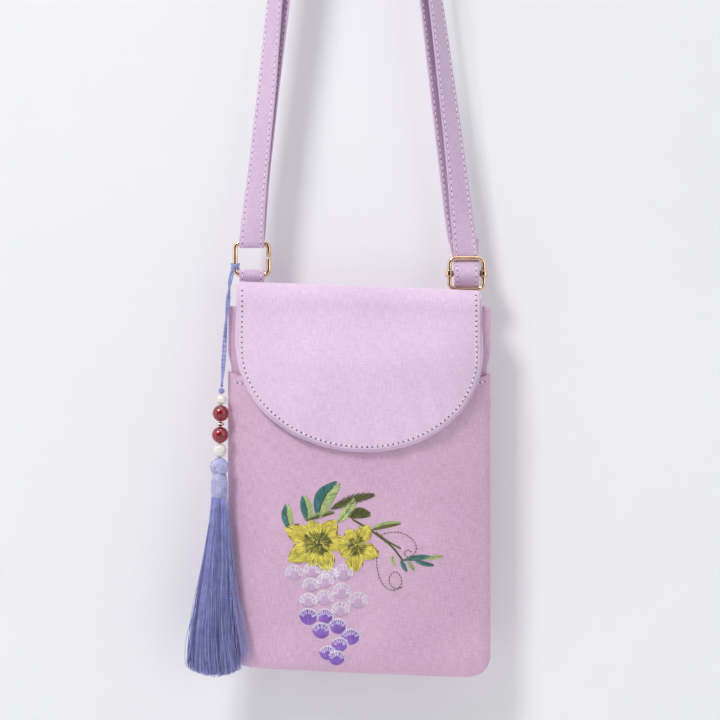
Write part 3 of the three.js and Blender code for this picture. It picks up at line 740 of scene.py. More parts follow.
tab_foot = on_back(ring_x, foldtop - TAB_SEWN)
tab_stations = lay_on_back(
    belt(
        [
            (tab_foot, foldtop - TAB_SEWN, 0),
            (tab_y, foldtop - FOLD_RISE / 3, 0),
            (FASTENER_BACK, ring_bottom, ring_wrap),
            (tab_y + LAYER, foldtop - FOLD_RISE / 3, 0),
            (tab_foot + LAYER, foldtop - TAB_SEWN, 0),
        ]
    ),
    ring_x,
    1,
)
print("stations", len(strap_stations), "and", len(tab_stations))

# %% [markdown]
# ## A sewn strip
# A strip is a low pillow in section: thin at its folded edges, sunk a little along the two stitch
# lines and full between them. The same stations carry the strip and its stitches, so the stitches
# follow every turn.


# %% Places along a strip
def take(values, run, where):
    """Values along a run, read at other distances."""
    return np.stack([np.interp(where, run, values[:, c]) for c in range(3)], axis=1)


def resample(stations, step):
    """The same stations at even distances."""
    at = np.array([s[0] for s in stations])
    edge = np.array([s[1] for s in stations])
    along = run_of(at)
    where = np.linspace(0, along[-1], max(2, int(along[-1] / step)))
    return take(at, along, where), take(edge, along, where), where


def strip_frames(at, edge):
    along = np.gradient(at, axis=0)
    along /= np.linalg.norm(along, axis=1)[:, None]
    face = np.cross(along, edge)
    face /= np.linalg.norm(face, axis=1)[:, None]
    return np.cross(face, along), face


print("strap sampled at", len(resample(strap_stations, MM)[2]), "places")

# %% Cloth of a strip
STITCH_INSET = 1.5 * MM
# across the strip as a share of its half width, thickness as a share of the whole
STRIP_SECTION = [(-1, 0.3), (-0.97, 0.72), (-0.88, 0.95), (-0.75, 0.66), (-0.6, 0.93), (-0.3, 1), (0, 1)]
STRIP_SECTION += [(-s, t) for s, t in reversed(STRIP_SECTION[:-1])]


def strip(name, stations, width, thickness, step=1.6 * MM):
    at, edge, where = resample(stations, step)
    across, face = strip_frames(at, edge)
    rings, uvs = [], []
    for side in (1, -1):
        for s, t in STRIP_SECTION[::side]:
            rings.append(at + across * s * width / 2 + face * side * t * thickness / 2)
            uvs.append(np.stack([np.full(len(at), s * width / 2 + (side - 1) * width), where], axis=1))
    grid = np.stack(rings, axis=1)
    uv = np.stack(uvs, axis=1).reshape(-1, 2)
    n, m = grid.shape[:2]
    faces = []
    for base in range(0, (n - 1) * m, m):
        for k in range(m):
            q = (k + 1) % m
            faces.append((base + k, base + q, base + m + q, base + m + k))
    faces += [tuple(reversed(range(m))), tuple((n - 1) * m + k for k in range(m))]
    piece = new_piece(name, grid.reshape(-1, 3).tolist(), faces, "cloth", uv[corners(faces)])
    in_edit(piece, bpy.ops.mesh.normals_make_consistent, inside=False)
    bpy.ops.object.shade_smooth_by_angle(angle=math.radians(60))
    return piece


print("points round a strip", 2 * len(STRIP_SECTION))

# %% Stitches of a strip
STRIP_PITCH, STRIP_STITCH = 2.9 * MM, 1.8 * MM
STRIP_THREAD, STRIP_HOLE = 0.22 * MM, 0.36 * MM
STITCH_ARC = np.array([-0.1, 0.14, 0.2, 0.14, -0.1]) * MM
# how much of the half thickness is left at the stitch line, and inside a needle hole
SUNK, PRICKED = 0.66, 0.5


def strip_stitches(stations, width, thickness):
    """Stitches along both edges of a strip, on both of its faces."""
    at, edge, where = resample(stations, 0.45 * MM)
    across, face = strip_frames(at, edge)
    out, holes = [], []
    for s in (-1, 1):
        line = at + across * s * (width / 2 - STITCH_INSET)
        for side in (1, -1):
            start = 0.6 * MM
            while start + STRIP_STITCH < where[-1]:
                t = start + np.linspace(0, STRIP_STITCH, 5)
                lift = STITCH_ARC + SUNK * thickness / 2
                arc = take(line, where, t) + take(face, where, t) * (side * lift)[:, None]
                out.append((arc, STRIP_THREAD, 0.95))
                # A dark disc at each needle hole between stitches is painted shade.
                t = np.full(2, start + (STRIP_STITCH + STRIP_PITCH) / 2)
                lift = np.array([PRICKED * thickness / 2, SUNK * thickness / 2 + 0.05 * MM])
                prick = take(line, where, t) + take(face, where, t) * (side * lift)[:, None]
                holes.append((prick, STRIP_HOLE, 0.2))
                start += STRIP_PITCH
    return out, holes


print("stitch and pitch", in_mm([STRIP_STITCH, STRIP_PITCH]))

# %% Strap and tab
strap_cloth = strip("strap_cloth", strap_stations, STRAP_WIDTH, STRAP_THICKNESS)
strap_sewing, strip_hole_shades = strip_stitches(strap_stations, STRAP_WIDTH, STRAP_THICKNESS)
strap_stitches = thread_mesh("strap_stitches", strap_sewing, 4)
tab_cloth = strip("tab_cloth", tab_stations, TAB_WIDTH, STRAP_THICKNESS, 0.6 * MM)
tab_sewing, tab_hole_shades = strip_stitches(tab_stations, TAB_WIDTH, STRAP_THICKNESS)
tab_stitches = thread_mesh("tab_stitches", tab_sewing, 4)
strip_painted_hole_shade = thread_mesh("strip_painted_hole_shade", strip_hole_shades + tab_hole_shades, 6)
strap_length = run_of(resample(strap_stations, MM)[0])[-1]
print("strap", in_mm([strap_length], 0), "mm long,", len(strap_stitches.data.polygons), "stitch faces")

# %% [markdown]
# ## Wire fittings
# The ring is one round wire bent to a rounded rectangle and cut where its ends meet. A circle of wire
# is set at one end of the split and carried round: pulled along the straights and spun round the
# corners. The slider is a closed frame of thinner wire with a bar whose sleeves wrap its sides.


# %% Bent wire
def wire_frame(name, x, z, width, height, wire, corner, split, rise):
    w, h, r = (width - wire) / 2, (height - wire) / 2, corner - wire / 2
    bpy.ops.mesh.primitive_circle_add(
        vertices=20,
        radius=wire / 2,
        fill_type="NGON" if split else "NOTHING",
        location=(x + w, FASTENER_BACK, z + rise + split / 2),
    )
    piece = bpy.context.object
    piece.name = name
    bpy.ops.object.transform_apply(location=True, rotation=True, scale=True)
    bpy.ops.object.mode_set(mode="EDIT")
    bpy.ops.mesh.select_all(action="SELECT")
    straights = [
        (0, 0, h - r - rise - split / 2),
        (-2 * (w - r), 0, 0),
        (0, 0, -2 * (h - r)),
        (2 * (w - r), 0, 0),
    ]
    centres = [(w - r, h - r), (r - w, h - r), (r - w, r - h), (w - r, r - h)]
    for move, (cx, cz) in zip(straights, centres):
        bpy.ops.mesh.extrude_region_move(TRANSFORM_OT_translate={"value": move})
        centre = (x + cx, FASTENER_BACK, z + cz)
        bpy.ops.mesh.spin(steps=10, angle=math.pi / 2, center=centre, axis=(0, 1, 0), use_auto_merge=False)
    bpy.ops.mesh.extrude_region_move(TRANSFORM_OT_translate={"value": (0, 0, rise - split / 2 + h - r)})
    bpy.ops.mesh.select_all(action="SELECT")
    bpy.ops.mesh.remove_doubles(threshold=0.01 * MM)
    bpy.ops.mesh.normals_make_consistent(inside=False)
    bpy.ops.object.mode_set(mode="OBJECT")
    if split:
        apply_new(piece, "BEVEL", width=0.25 * MM, segments=2, angle_limit=math.radians(60))
    bpy.ops.object.shade_smooth_by_angle(angle=math.radians(40))
    return piece


ring_size = (RING_WIDTH, RING_HEIGHT, RING_WIRE, RING_CORNER)
slider_size = (SLIDER_WIDTH, SLIDER_HEIGHT, SLIDER_WIRE, SLIDER_CORNER)
ring_z = (ring_top + ring_bottom) / 2
ring_wire = wire_frame("ring_wire", ring_x, ring_z, *ring_size, RING_SPLIT, RING_SPLIT_RISE)
slider_wire = wire_frame("slider_wire", slider_x, slider_middle, *slider_size, 0, 0)
print("ring", in_mm(ring_wire.dimensions), "slider", in_mm(slider_wire.dimensions))

# %% [markdown]
# ### The slider's bar
# The bar is a round wire whose ends are flattened and rolled round the sides of the frame, so each
# end is a short sleeve with a wall. Both sleeves are rings with rounded rims.

# %% Bar and sleeves
sleeve_bore = SLIDER_WIRE / 2 + CLEARANCE
side_x = (SLIDER_WIDTH - SLIDER_WIRE) / 2


def sleeve(x):
    """A short tube round an upright wire: a circle raised, given a wall and rounded rims."""
    bpy.ops.mesh.primitive_cylinder_add(
        vertices=40,
        radius=sleeve_bore + SLEEVE_WALL,
        depth=SLEEVE_HEIGHT,
        end_fill_type="NOTHING",
        location=(x, FASTENER_BACK, slider_middle),
    )
    piece = bpy.context.object
    piece.name = "sleeve"
    bpy.ops.object.transform_apply(location=True, rotation=True, scale=True)
    apply_new(piece, "SOLIDIFY", thickness=SLEEVE_WALL, offset=-1)
    apply_new(piece, "BEVEL", width=SLEEVE_WALL * 0.32, segments=3, angle_limit=math.radians(60))
    bpy.ops.object.shade_smooth_by_angle(angle=math.radians(40))
    return piece


bar_reach = 2 * (side_x - sleeve_bore - SLEEVE_WALL * 0.5)
bpy.ops.mesh.primitive_cylinder_add(
    vertices=24,
    radius=BAR_WIRE / 2,
    depth=bar_reach,
    location=(slider_x, FASTENER_BACK, slider_middle),
    rotation=(0, math.pi / 2, 0),
)
slider_rod = bpy.context.object
slider_rod.name = "slider_rod"
bpy.ops.object.transform_apply(location=True, rotation=True, scale=True)
bpy.ops.object.shade_smooth_by_angle(angle=math.radians(40))
sleeves = [sleeve(slider_x + s * side_x) for s in (-1, 1)]
only(slider_rod, *sleeves)
bpy.ops.object.join()
print("bar", in_mm(slider_rod.dimensions))

# %% [markdown]
# ## Hitch, knot and bead thread
# The doubled cord is tied to the side of the ring: its turns cross in front as a small X. Under it
# the two halves end in a knot, and a thin thread goes on through the beads to the tassel.

# %% Hitch
HITCH_TURN = 1.1 * MM
HITCH_LEAN = 1.05 * MM
HITCH_PAIR = 0.4 * MM
hitch_x = ring_x - (RING_WIDTH - RING_WIRE) / 2
hitch_low, hitch_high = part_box("cord_hitch")[0][2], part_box("cord_hitch")[1][2]
hitch_z = (hitch_low + hitch_high) / 2
wrap = RING_WIRE / 2 + CLEARANCE + HITCH_TURN / 2
hitch_threads = []
for lean in (1, -1):
    for strand in (-1, 1):
        angle = np.linspace(0, 2 * math.pi, 33)
        front = np.maximum(-np.sin(angle), 0)
        level = hitch_z + strand * HITCH_PAIR + lean * HITCH_LEAN * np.cos(angle)
        r = wrap - 0.12 * MM + 0.1 * MM * lean * front
        turn_x, turn_y = hitch_x + r * np.cos(angle), FASTENER_BACK + r * np.sin(angle)
        ring_line = np.stack([turn_x, turn_y, level], axis=1)
        for ply in (0, 1):
            hitch_threads.append((turned(ring_line, 0.15 * MM, 6, math.pi * ply), 0.24 * MM, MID_TINT))
hitch_cord = thread_mesh("hitch_cord", hitch_threads, 6)
print("hitch", in_mm(hitch_cord.dimensions))

# %% Knot and thread
cord_end = Vector(cord_line[-1])
KNOT_RADIUS = 0.98 * MM
TURN_ANGLES = np.linspace(0, 2 * math.pi, 25)


def middle(low, high):
    return (Vector(low) + Vector(high)) / 2


def loop_at(centre, u, v, radius):
    """A circle of points round a centre, in the plane of u and v."""
    return [centre + (u * math.cos(a) + v * math.sin(a)) * radius for a in TURN_ANGLES]


knot_at = middle(*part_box("cord_knot"))
foot = Vector((-62.2, -8.6, -401)) * MM
down = (foot - cord_end).normalized()
_, side_a, side_b = frames_along(np.array([cord_end, foot]))
side_a, side_b = Vector(side_a[0]), Vector(side_b[0])
knot_threads = []
for turn in range(3):
    tilt = math.radians(35 + 60 * turn)
    axis = down * math.cos(tilt) + side_a * math.sin(tilt)
    u = axis.cross(side_b).normalized()
    v = axis.cross(u)
    line = np.array(loop_at(knot_at, u, v, KNOT_RADIUS))
    for ply in (0, 1):
        knot_threads.append((turned(line, 0.22 * MM, 4, math.pi * ply + turn), 0.33 * MM, MID_TINT))
cord_knot_turns = thread_mesh("cord_knot_turns", knot_threads, 6)

thread_points = []
top = cord_end + down * 3.7 * MM
end = cord_end + down * ((foot - cord_end).length - 1.7 * MM)
line = np.array([top.lerp(end, t) for t in np.linspace(0, 1, 60)])
for ply in (0, 1):
    thread_points.append((turned(line, 0.2 * MM, 20, math.pi * ply), 0.24 * MM, MID_TINT))
bead_thread_plies = thread_mesh("bead_thread_plies", thread_points, 6)
print("knot", in_mm(cord_knot_turns.dimensions, 2))

# %% [markdown]
# ## Beads
# Five beads hang on the thread: a small pearl, two red beads with a gilt spacer between them, and a
# larger pearl. Each is a ball drilled through, with the rim of its hole softened. Real pearls are never
# quite round, so their surface is moved a little by smooth waves.


# %% Drilled beads
def bead(solid_name, diameter, height, bore, uneven):
    at = middle(*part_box(solid_name))
    turn = Vector((0, 0, -1)).rotation_difference(down)
    centre = (0, 0, 0)
    bpy.ops.mesh.primitive_uv_sphere_add(segments=40, ring_count=24, radius=diameter / 2, location=centre)
    piece = bpy.context.object
    piece.name = solid_name + "_drilled"
    in_edit(piece, bpy.ops.transform.resize, value=(1, 1, height / diameter), center_override=centre)
    bpy.ops.mesh.primitive_cylinder_add(vertices=24, radius=bore / 2, depth=height * 2, location=centre)
    drill = bpy.context.object
    apply_new(piece, "BOOLEAN", object=drill, solver="EXACT")
    apply_new(piece, "BEVEL", width=0.14 * MM, segments=2, angle_limit=math.radians(40))
    without_slivers(piece)
    bpy.data.objects.remove(drill)
    for v in piece.data.vertices:
        p = v.co / (diameter / 2)
        wave = math.sin(3.1 * p.x + 1.2) * math.cos(2.7 * p.y - 0.6) + 0.5 * math.sin(5.3 * p.z + 2 * p.x)
        v.co *= 1 + uneven * wave
    piece.data.transform(Matrix.Translation(at) @ turn.to_matrix().to_4x4())
    piece.data.update()
    bpy.ops.object.shade_smooth_by_angle(angle=math.radians(50))
    return piece


SMALL_BORE, RED_BORE = 1.2 * MM, 1.3 * MM
RED = (7.8 * MM, 7.8 * MM, RED_BORE, 0.002)
BEADS = [
    bead("pearl_small", 4.9 * MM, 4.9 * MM, SMALL_BORE, 0.008),
    bead("red_bead_upper", *RED),
    bead("spacer_bead", 3.5 * MM, 2 * MM, RED_BORE, 0),
    bead("red_bead_lower", *RED),
    bead("pearl_large", 6.5 * MM, 6.5 * MM, SMALL_BORE, 0.008),
]
print([(b.name, in_mm([b.dimensions.z], 2)) for b in BEADS])

# %% [markdown]
# ## Tassel
# The silk is folded over the thread, wound into a ball at the top and bound below it, and falls in a
# narrow skirt that widens in the middle and ends in uneven tips. The skirt is a thousand and more
# single threads, gathered in locks, each with its own small wave.

# %% Head and neck
dice = random.Random(7)
tassel_low, tassel_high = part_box("tassel")
HEAD = 8.8 * MM
NECK_LENGTH = 10.5 * MM
WINDING_TURNS, NECK_THREADS, BINDING_TURNS = 64, 110, 9
BINDING_RADIUS, BINDING_STEP = 3.35 * MM, 0.2 * MM
head_at = Vector((foot.x, foot.y, tassel_high.z - HEAD / 2))
winding = []
for turn in range(WINDING_TURNS):
    axis = Vector((dice.gauss(0, 1), dice.gauss(0, 1), dice.gauss(0, 0.35))).normalized()
    u = axis.orthogonal().normalized()
    v = axis.cross(u)
    r = HEAD / 2 - 0.3 * MM + dice.uniform(-0.25, 0.12) * MM
    winding.append((loop_at(head_at, u, v, r), 0.36 * MM, dice.uniform(0.2, 0.8)))
neck_top, neck_foot = head_at.z - HEAD * 0.36, head_at.z - HEAD / 2 - NECK_LENGTH
for k in range(NECK_THREADS):
    a = 2 * math.pi * k / NECK_THREADS + dice.uniform(-0.03, 0.03)
    points = []
    for t in np.linspace(0, 1, 9):
        r = (2.9 + 0.75 * math.sin(math.pi * t) + 0.3 * t) * MM + dice.uniform(-0.12, 0.12) * MM
        z = neck_top + (neck_foot - neck_top) * t
        points.append((foot.x + r * math.cos(a), foot.y + r * math.sin(a), z))
    winding.append((points, 0.2 * MM, dice.uniform(0.1, 0.9)))
for turn in range(BINDING_TURNS):
    z = head_at.z - HEAD * 0.47 - turn * BINDING_STEP
    centre = Vector((foot.x, foot.y, z))
    lean = Vector((0, BINDING_RADIUS, 0.1 * MM)) / BINDING_RADIUS
    points = loop_at(centre, Vector((1, 0, 0)), lean, BINDING_RADIUS)
    winding.append((points, 0.16 * MM, 0.6))
tassel_head = thread_mesh("tassel_head", winding, 5)
print("head", in_mm(tassel_head.dimensions))

# %% Skirt
# down the skirt: half width, half depth and sideways shift in mm
SKIRT = [
    (0, 3.6, 3.6, 0),
    (0.12, 4.6, 3.9, 0.1),
    (0.35, 7.2, 4.8, -0.8),
    (0.55, 9.4, 5.6, -1.8),
    (0.75, 12, 6.4, -2.2),
    (0.9, 13.2, 6.6, -1.8),
    (1, 13.4, 6.4, -1.4),
]
skirt_rows = np.array(SKIRT)
skirt_top = neck_foot + 0.6 * MM
skirt_end = tassel_low.z + 1.5 * MM
LOCKS, SILK_THREADS, LOOSE_THREADS = 13, 1500, 26
SILK_RADIUS, LOOSE_RADIUS = 0.145 * MM, 0.13 * MM
ANY_PHASE = 6.28
locks = []
for k in range(LOCKS):
    angle = 2 * math.pi * k / LOCKS + dice.uniform(-0.2, 0.2)
    locks.append((angle, dice.uniform(0.45, 0.92), dice.uniform(0, ANY_PHASE)))


def skirt_thread(angle, share, length, sway, phase, flare=1.0):
    points = []
    for t in np.linspace(0, 1, 15):
        s = t * length
        w, d, shift = (float(np.interp(s, skirt_rows[:, 0], skirt_rows[:, c])) for c in (1, 2, 3))
        grow = 1 + (flare - 1) * s * s
        x = foot.x + (share * w * grow * math.cos(angle) + shift) * MM
        y = foot.y + share * d * math.sin(angle) * MM
        wave = sway * t * MM
        x += wave * math.sin(phase + 5.5 * s) + 0.35 * wave * math.sin(2.3 * phase + 13 * s)
        y += 0.6 * wave * math.cos(1.7 * phase + 6 * s)
        points.append((x, y, skirt_top + (skirt_end - skirt_top) * s))
    return points


skirt_threads = []
for k in range(SILK_THREADS):
    if k % 9:
        centre, share, phase = locks[dice.randrange(len(locks))]
        angle = centre + dice.gauss(0, 0.16)
        share = min(1, max(0.05, share + dice.gauss(0, 0.13)))
        sway, phase = dice.uniform(0.3, 1.0), phase + dice.gauss(0, 0.4)
    else:
        angle, share = dice.uniform(0, 2 * math.pi), math.sqrt(dice.random())
        sway, phase = dice.uniform(0.5, 1.8), dice.uniform(0, ANY_PHASE)
    length = 1 - 0.045 * (share * math.cos(angle)) ** 2 - abs(dice.gauss(0, 0.03))
    if k % LOCKS == 0:
        length -= 0.12 * dice.random()
    skirt_threads.append((skirt_thread(angle, share, length, sway, phase), SILK_RADIUS, dice.random()))
for k in range(LOOSE_THREADS):
    angle, length = dice.uniform(-0.9, 0.9), dice.uniform(0.86, 0.97)
    phase, flare = dice.uniform(0, ANY_PHASE), dice.uniform(1, 1.25)
    skirt_threads.append((skirt_thread(angle, 1, length, 2.2, phase, flare), LOOSE_RADIUS, 0.8))
tassel_skirt = thread_mesh("tassel_skirt", skirt_threads, 3)
print("tassel", len(tassel_skirt.data.polygons), "faces", in_mm(tassel_skirt.dimensions))

# %% [markdown]
# ## Stitches on the pouch
# The flap and the pocket's hem are sewn with a light thread. Each stitch is a short arc of thread that
# dips into a needle hole at both ends, where a small dark disc is the painted shade of the hole, so
# the row reads as a dotted line.


# %% Places on a cloth
FAR_IN_FRONT = -0.2


def on_cloth(cloth, x, z, lift):
    """The point on a cloth's front at x and z, lifted off it, found by a ray from the front."""
    hit, at, _, _ = cloth.ray_cast(Vector((x, FAR_IN_FRONT, z)), Vector((0, 1, 0)))
    return (x, at.y - lift, z) if hit else (x, on_pocket(x, z, lift)[1], z)


print("pocket face at", in_mm(on_cloth(front_pocket_cloth, 0, view_z, 0)))

# %% Rows of stitches
STITCH_PITCH, STITCH_LENGTH, STITCH_RADIUS = 2.45 * MM, 1.5 * MM, 0.3 * MM
# how far along a stitch, and how high over the cloth in mm
STITCH_SHAPE = ((0, -0.12), (0.18, 0.12), (0.5, 0.19), (0.82, 0.12), (1, -0.12))
# the disc of painted shade at each needle hole: its radius, and how far into and out of the cloth it
# reaches
HOLE_RADIUS, HOLE_FOOT, HOLE_RIM = 0.5 * MM, -0.25 * MM, 0.1 * MM


def stitch_row(cloth, points):
    """Stitches on a cloth along a line of (x, z) places, with a disc of painted shade at each needle hole.
    """
    points = np.asarray(points)
    run = run_of(points)

    def at(s, lift):
        x, z = (float(np.interp(s, run, points[:, c])) for c in (0, 1))
        return on_cloth(cloth, x, z, lift)

    threads, holes = [], []
    for k in range(int(run[-1] / STITCH_PITCH)):
        s = (k + 0.25) * STITCH_PITCH
        arc = [at(s + STITCH_LENGTH * t, lift * MM) for t, lift in STITCH_SHAPE]
        threads.append((arc, STITCH_RADIUS, dice.uniform(0.3, 0.8)))
        gap = s + STITCH_LENGTH + (STITCH_PITCH - STITCH_LENGTH) / 2
        holes.append(([at(gap, HOLE_FOOT), at(gap, HOLE_RIM)], HOLE_RADIUS, 0.1))
    return threads, holes


print("stitch and pitch", in_mm([STITCH_LENGTH, STITCH_PITCH], 2))

# %% Stitches of the flap and the hem
EDGE = 2.6 * MM
half_flap = FLAP_WIDTH / 2 - EDGE
flap_line = []
for t in np.linspace(0, math.pi, 160):
    x = POUCH_OFFSET - half_flap * math.cos(t)
    flap_line.append((x, flap_end(x, EDGE)))
(left_x, left_z), (right_x, right_z) = flap_line[0], flap_line[-1]


def top_z(x):
    return fold_at(x) - FOLD_RISE * 0.12


flap_line = [
    *[(left_x, z) for z in np.linspace(top_z(left_x), left_z, 20)[:-1]],
    *flap_line,
    *[(right_x, z) for z in np.linspace(right_z, top_z(right_x), 20)[1:]],
]
sewing, prick_shades = stitch_row(flap_face, flap_line)


def hem_z(x):
    u = abs(x - POUCH_OFFSET) / (BODY_WIDTH / 2)
    return RIM - POCKET_DROP - HEM_SAG * (1 - u**8) - HEM_DEPTH


half_hem = BODY_WIDTH / 2 - 2.5 * MM
hem_x = np.linspace(POUCH_OFFSET - half_hem, POUCH_OFFSET + half_hem, 120)
hem_sewing, hem_prick_shades = stitch_row(front_pocket_cloth, [(x, hem_z(x)) for x in hem_x])
sewing += hem_sewing
prick_shades += hem_prick_shades
edge_stitches = thread_mesh("edge_stitches", sewing, 5)
painted_hole_shade = thread_mesh("painted_hole_shade", prick_shades, 6)
print("stitches", len(sewing))

# %% [markdown]
# ## Embroidery
# A spray of leaves, two yellow flowers and a hanging cluster of small petals is worked on the pocket
# in silk. Each form is filled with satin stitch: threads laid side by side, from edge to edge or from
# the middle vein out. The threads are real tubes here, so that they catch the light as silk does.
# The chart below counts in its own small unit, to the right and down from its upper left corner.

# %% Laid silk
silks = {name: [] for name in ("yellow", "olive", "teal", "green", "violet", "blush", "pale", "gold")}
CHART_UNIT = 0.1385 * MM
CHART_LEFT = -36.25 * MM
CHART_TOP = -405.93 * MM


# how far along a laid thread, and what part of its height
LAID_SHAPE = ((0, -0.55), (0.14, 0.75), (0.5, 1.0), (0.86, 0.75), (1, -0.55))


def laid(a, b, height, tint, radius=0.15 * MM, arch=0.0):
    """One thread of silk on the pocket from a to b, places of the chart."""
    a, b = np.asarray(a, float), np.asarray(b, float)
    side = np.array([a[1] - b[1], b[0] - a[0]])
    points = []
    for t, rise in LAID_SHAPE:
        cx, cy = a + (b - a) * t + side * arch * math.sin(math.pi * t)
        x, z = CHART_LEFT + cx * CHART_UNIT, CHART_TOP - cy * CHART_UNIT
        points.append(on_cloth(front_pocket_cloth, x, z, height * rise * MM))
    return points, radius, tint


def tone(base, spread=0.16):
    return min(1, max(0, base + dice.uniform(-spread, spread)))


print("chart unit", in_mm([CHART_UNIT], 4), "corner", in_mm([CHART_LEFT, CHART_TOP], 2))

# %% Leaves
def axes(base, tip):
    """A form's foot, its length, and the directions along and across it."""
    base, tip = np.array(base, float), np.array(tip, float)
    length = float(np.linalg.norm(tip - base))
    along = (tip - base) / length
    return base, length, along, np.array([-along[1], along[0]])


LEAF_SLANT, LEAF_PITCH = 0.16, 1.8


def leaf(base, tip, width, bend, right, left, light, teeth=0):
    """A leaf: stitches slant from the middle vein to both edges."""
    base, length, along, side = axes(base, tip)

    def spine(t):
        return base + along * length * t + side * bend * math.sin(math.pi * t)

    count = max(6, int(length / LEAF_PITCH))
    for k in range(count):
        t = (k + 0.5) / count
        half = width / 2 * math.sin(math.pi * min(t * 0.93 + 0.05, 1)) ** 0.75
        if teeth:
            half *= 0.65 + 0.35 * ((t * teeth) % 1)
        for sign, name in ((1, right), (-1, left)):
            root = spine(max(t - LEAF_SLANT, 0)) - side * sign * 0.6
            edge = spine(min(t + LEAF_SLANT * 0.3, 1)) + side * sign * half
            height = dice.uniform(0.16, 0.34)
            silks[name].append(laid(root, edge, height, tone(light + 0.1 * sign, 0.45), 0.16 * MM))
    for a, b in ((0, 0.34), (0.32, 0.64), (0.62, 0.95)):
        silks["olive"].append(laid(spine(a), spine(b), 0.32, 0.3))


print("leaf pitch", in_mm([LEAF_PITCH * CHART_UNIT], 2))

# %% Flower petals
# start, end, height and shade of each ring of a petal
PETAL_RINGS = ((0.08, 0.45, 0.18, -0.3), (0.36, 0.74, 0.28, 0.0), (0.62, 1.0, 0.36, 0.15))
PETAL_LIGHT, PETAL_PITCH = 0.8, 2.7


def flower_petal(heart, tip, width):
    """A petal in three rings of long and short stitch, darker toward the heart."""
    heart, length, along, side = axes(heart, tip)

    def at(u, t):
        full = math.sin(math.pi * min(t, 1) ** 1.5 * 0.94) ** 0.62
        return heart + along * length * t * (1 - 0.16 * u * u) + side * u * width * full

    count = int(2 * width / PETAL_PITCH)
    for k in range(count):
        for start, end, height, shade in PETAL_RINGS:
            u = -1 + 2 * (k + 0.5 + dice.uniform(-0.35, 0.35)) / count
            a, b = start + dice.uniform(-0.06, 0.06), end - dice.uniform(0, 0.1)
            low, high = at(u, a), at(u * dice.uniform(0.9, 1.02), b)
            height += dice.uniform(-0.12, 0.16)
            silks["yellow"].append(laid(low, high, height, tone(PETAL_LIGHT + shade, 0.6), 0.2 * MM))
        # Olive strokes laid over the yellow are painted shade: they darken the petal near its heart and
        # between its stitches.
        if k % 3 != 0:
            u = -1 + 2 * (k + 0.5) / count
            low, high = at(u * 0.7, 0.12), at(u * 0.8, dice.uniform(0.36, 0.6))
            silks["olive"].append(laid(low, high, 0.36, tone(0.5, 0.3)))
            t = dice.uniform(0.6, 0.8)
            silks["olive"].append(laid(at(u, t), at(u, t + 0.16), 0.46, tone(0.6, 0.3), 0.11 * MM))


print("petal pitch", in_mm([PETAL_PITCH * CHART_UNIT], 2))

# %% Cluster petals
def cluster_petal(cx, cy, r, name):
    """A small round petal: a fan of threads, a light fan over it and light arcs along its top."""
    count = int(2 * r / 1.8)
    lean = dice.uniform(-0.3, 0.3)
    for k in range(count):
        u = -1 + 2 * (k + 0.5) / count
        h = math.sqrt(1 - u * u)
        top = (cx + u * r - lean * h * r * 0.3, cy - 0.85 * h * r)
        low = (cx + u * r * 0.85 + lean * h * r * 0.3, cy + 0.85 * h * r)
        # The fan is tinted lighter on its left side and darker on its right: painted light and painted
        # shade.
        silks[name].append(laid(top, low, dice.uniform(0.2, 0.28), tone(0.5 - 0.2 * u, 0.25)))
    whole = name == "blush"
    fan, fan_start, fan_turn = (13, 160, 220) if whole else (9, 196, 148)
    for k in range(fan):
        a = math.radians(fan_start + fan_turn * k / (fan - 1) + dice.uniform(-4, 4))
        inner, outer = dice.uniform(0.28, 0.45), dice.uniform(0.88, 1.0)
        a0 = (cx + inner * r * math.cos(a), cy + 0.1 * r + inner * r * math.sin(a) * 0.8)
        a1 = (cx + outer * r * math.cos(a), cy + outer * r * math.sin(a) * 0.88)
        silks["pale"].append(laid(a0, a1, 0.42, tone(0.85, 0.12)))
    for rim_r in (r, r * 0.88):
        for start in range(150, 390, 40) if whole else range(195, 340, 36):
            ends = []
            for degrees in (start + dice.uniform(-5, 5), start + 42):
                a = math.radians(degrees)
                ends.append((cx + rim_r * math.cos(a), cy + rim_r * 0.88 * math.sin(a)))
            silks["pale"].append(laid(*ends, 0.4, tone(0.9, 0.1), 0.15 * MM, -0.12))


print("threads laid so far", sum(map(len, silks.values())))

# %% Stems and running stitches
STEM_STEP = 2.6
RUNNING_PITCH, RUNNING_LENGTH = 11.5, 6


def stem(points, width, light):
    """A stem: short slanted stitches along a line, like a rope."""
    line = smooth_path([(x, y, 0) for x, y in points], 60)[:, :2]
    step = run_of(line)
    for s in np.arange(0, step[-1], STEM_STEP):
        at = np.array([np.interp(s + d, step, line[:, c]) for d in (0, 10) for c in (0, 1)]).reshape(2, 2)
        across = np.array([at[0][1] - at[1][1], at[1][0] - at[0][0]])
        across *= width / 2 / (np.linalg.norm(across) + TINY)
        silks["olive"].append(laid(at[0] - across, at[1] + across, 0.26, tone(light, 0.3)))


def running(points):
    """A line of single running stitches."""
    line = smooth_path([(x, y, 0) for x, y in points], 200)[:, :2]
    step = run_of(line)
    for s in np.arange(0, step[-1] - RUNNING_LENGTH, RUNNING_PITCH):
        a, b = ([np.interp(s + d, step, line[:, c]) for c in (0, 1)] for d in (0, RUNNING_LENGTH))
        silks["gold"].append(laid(a, b, 0.3, tone(0.5, 0.5), 0.24 * MM))


print("running stitch", in_mm([RUNNING_LENGTH * CHART_UNIT], 2))

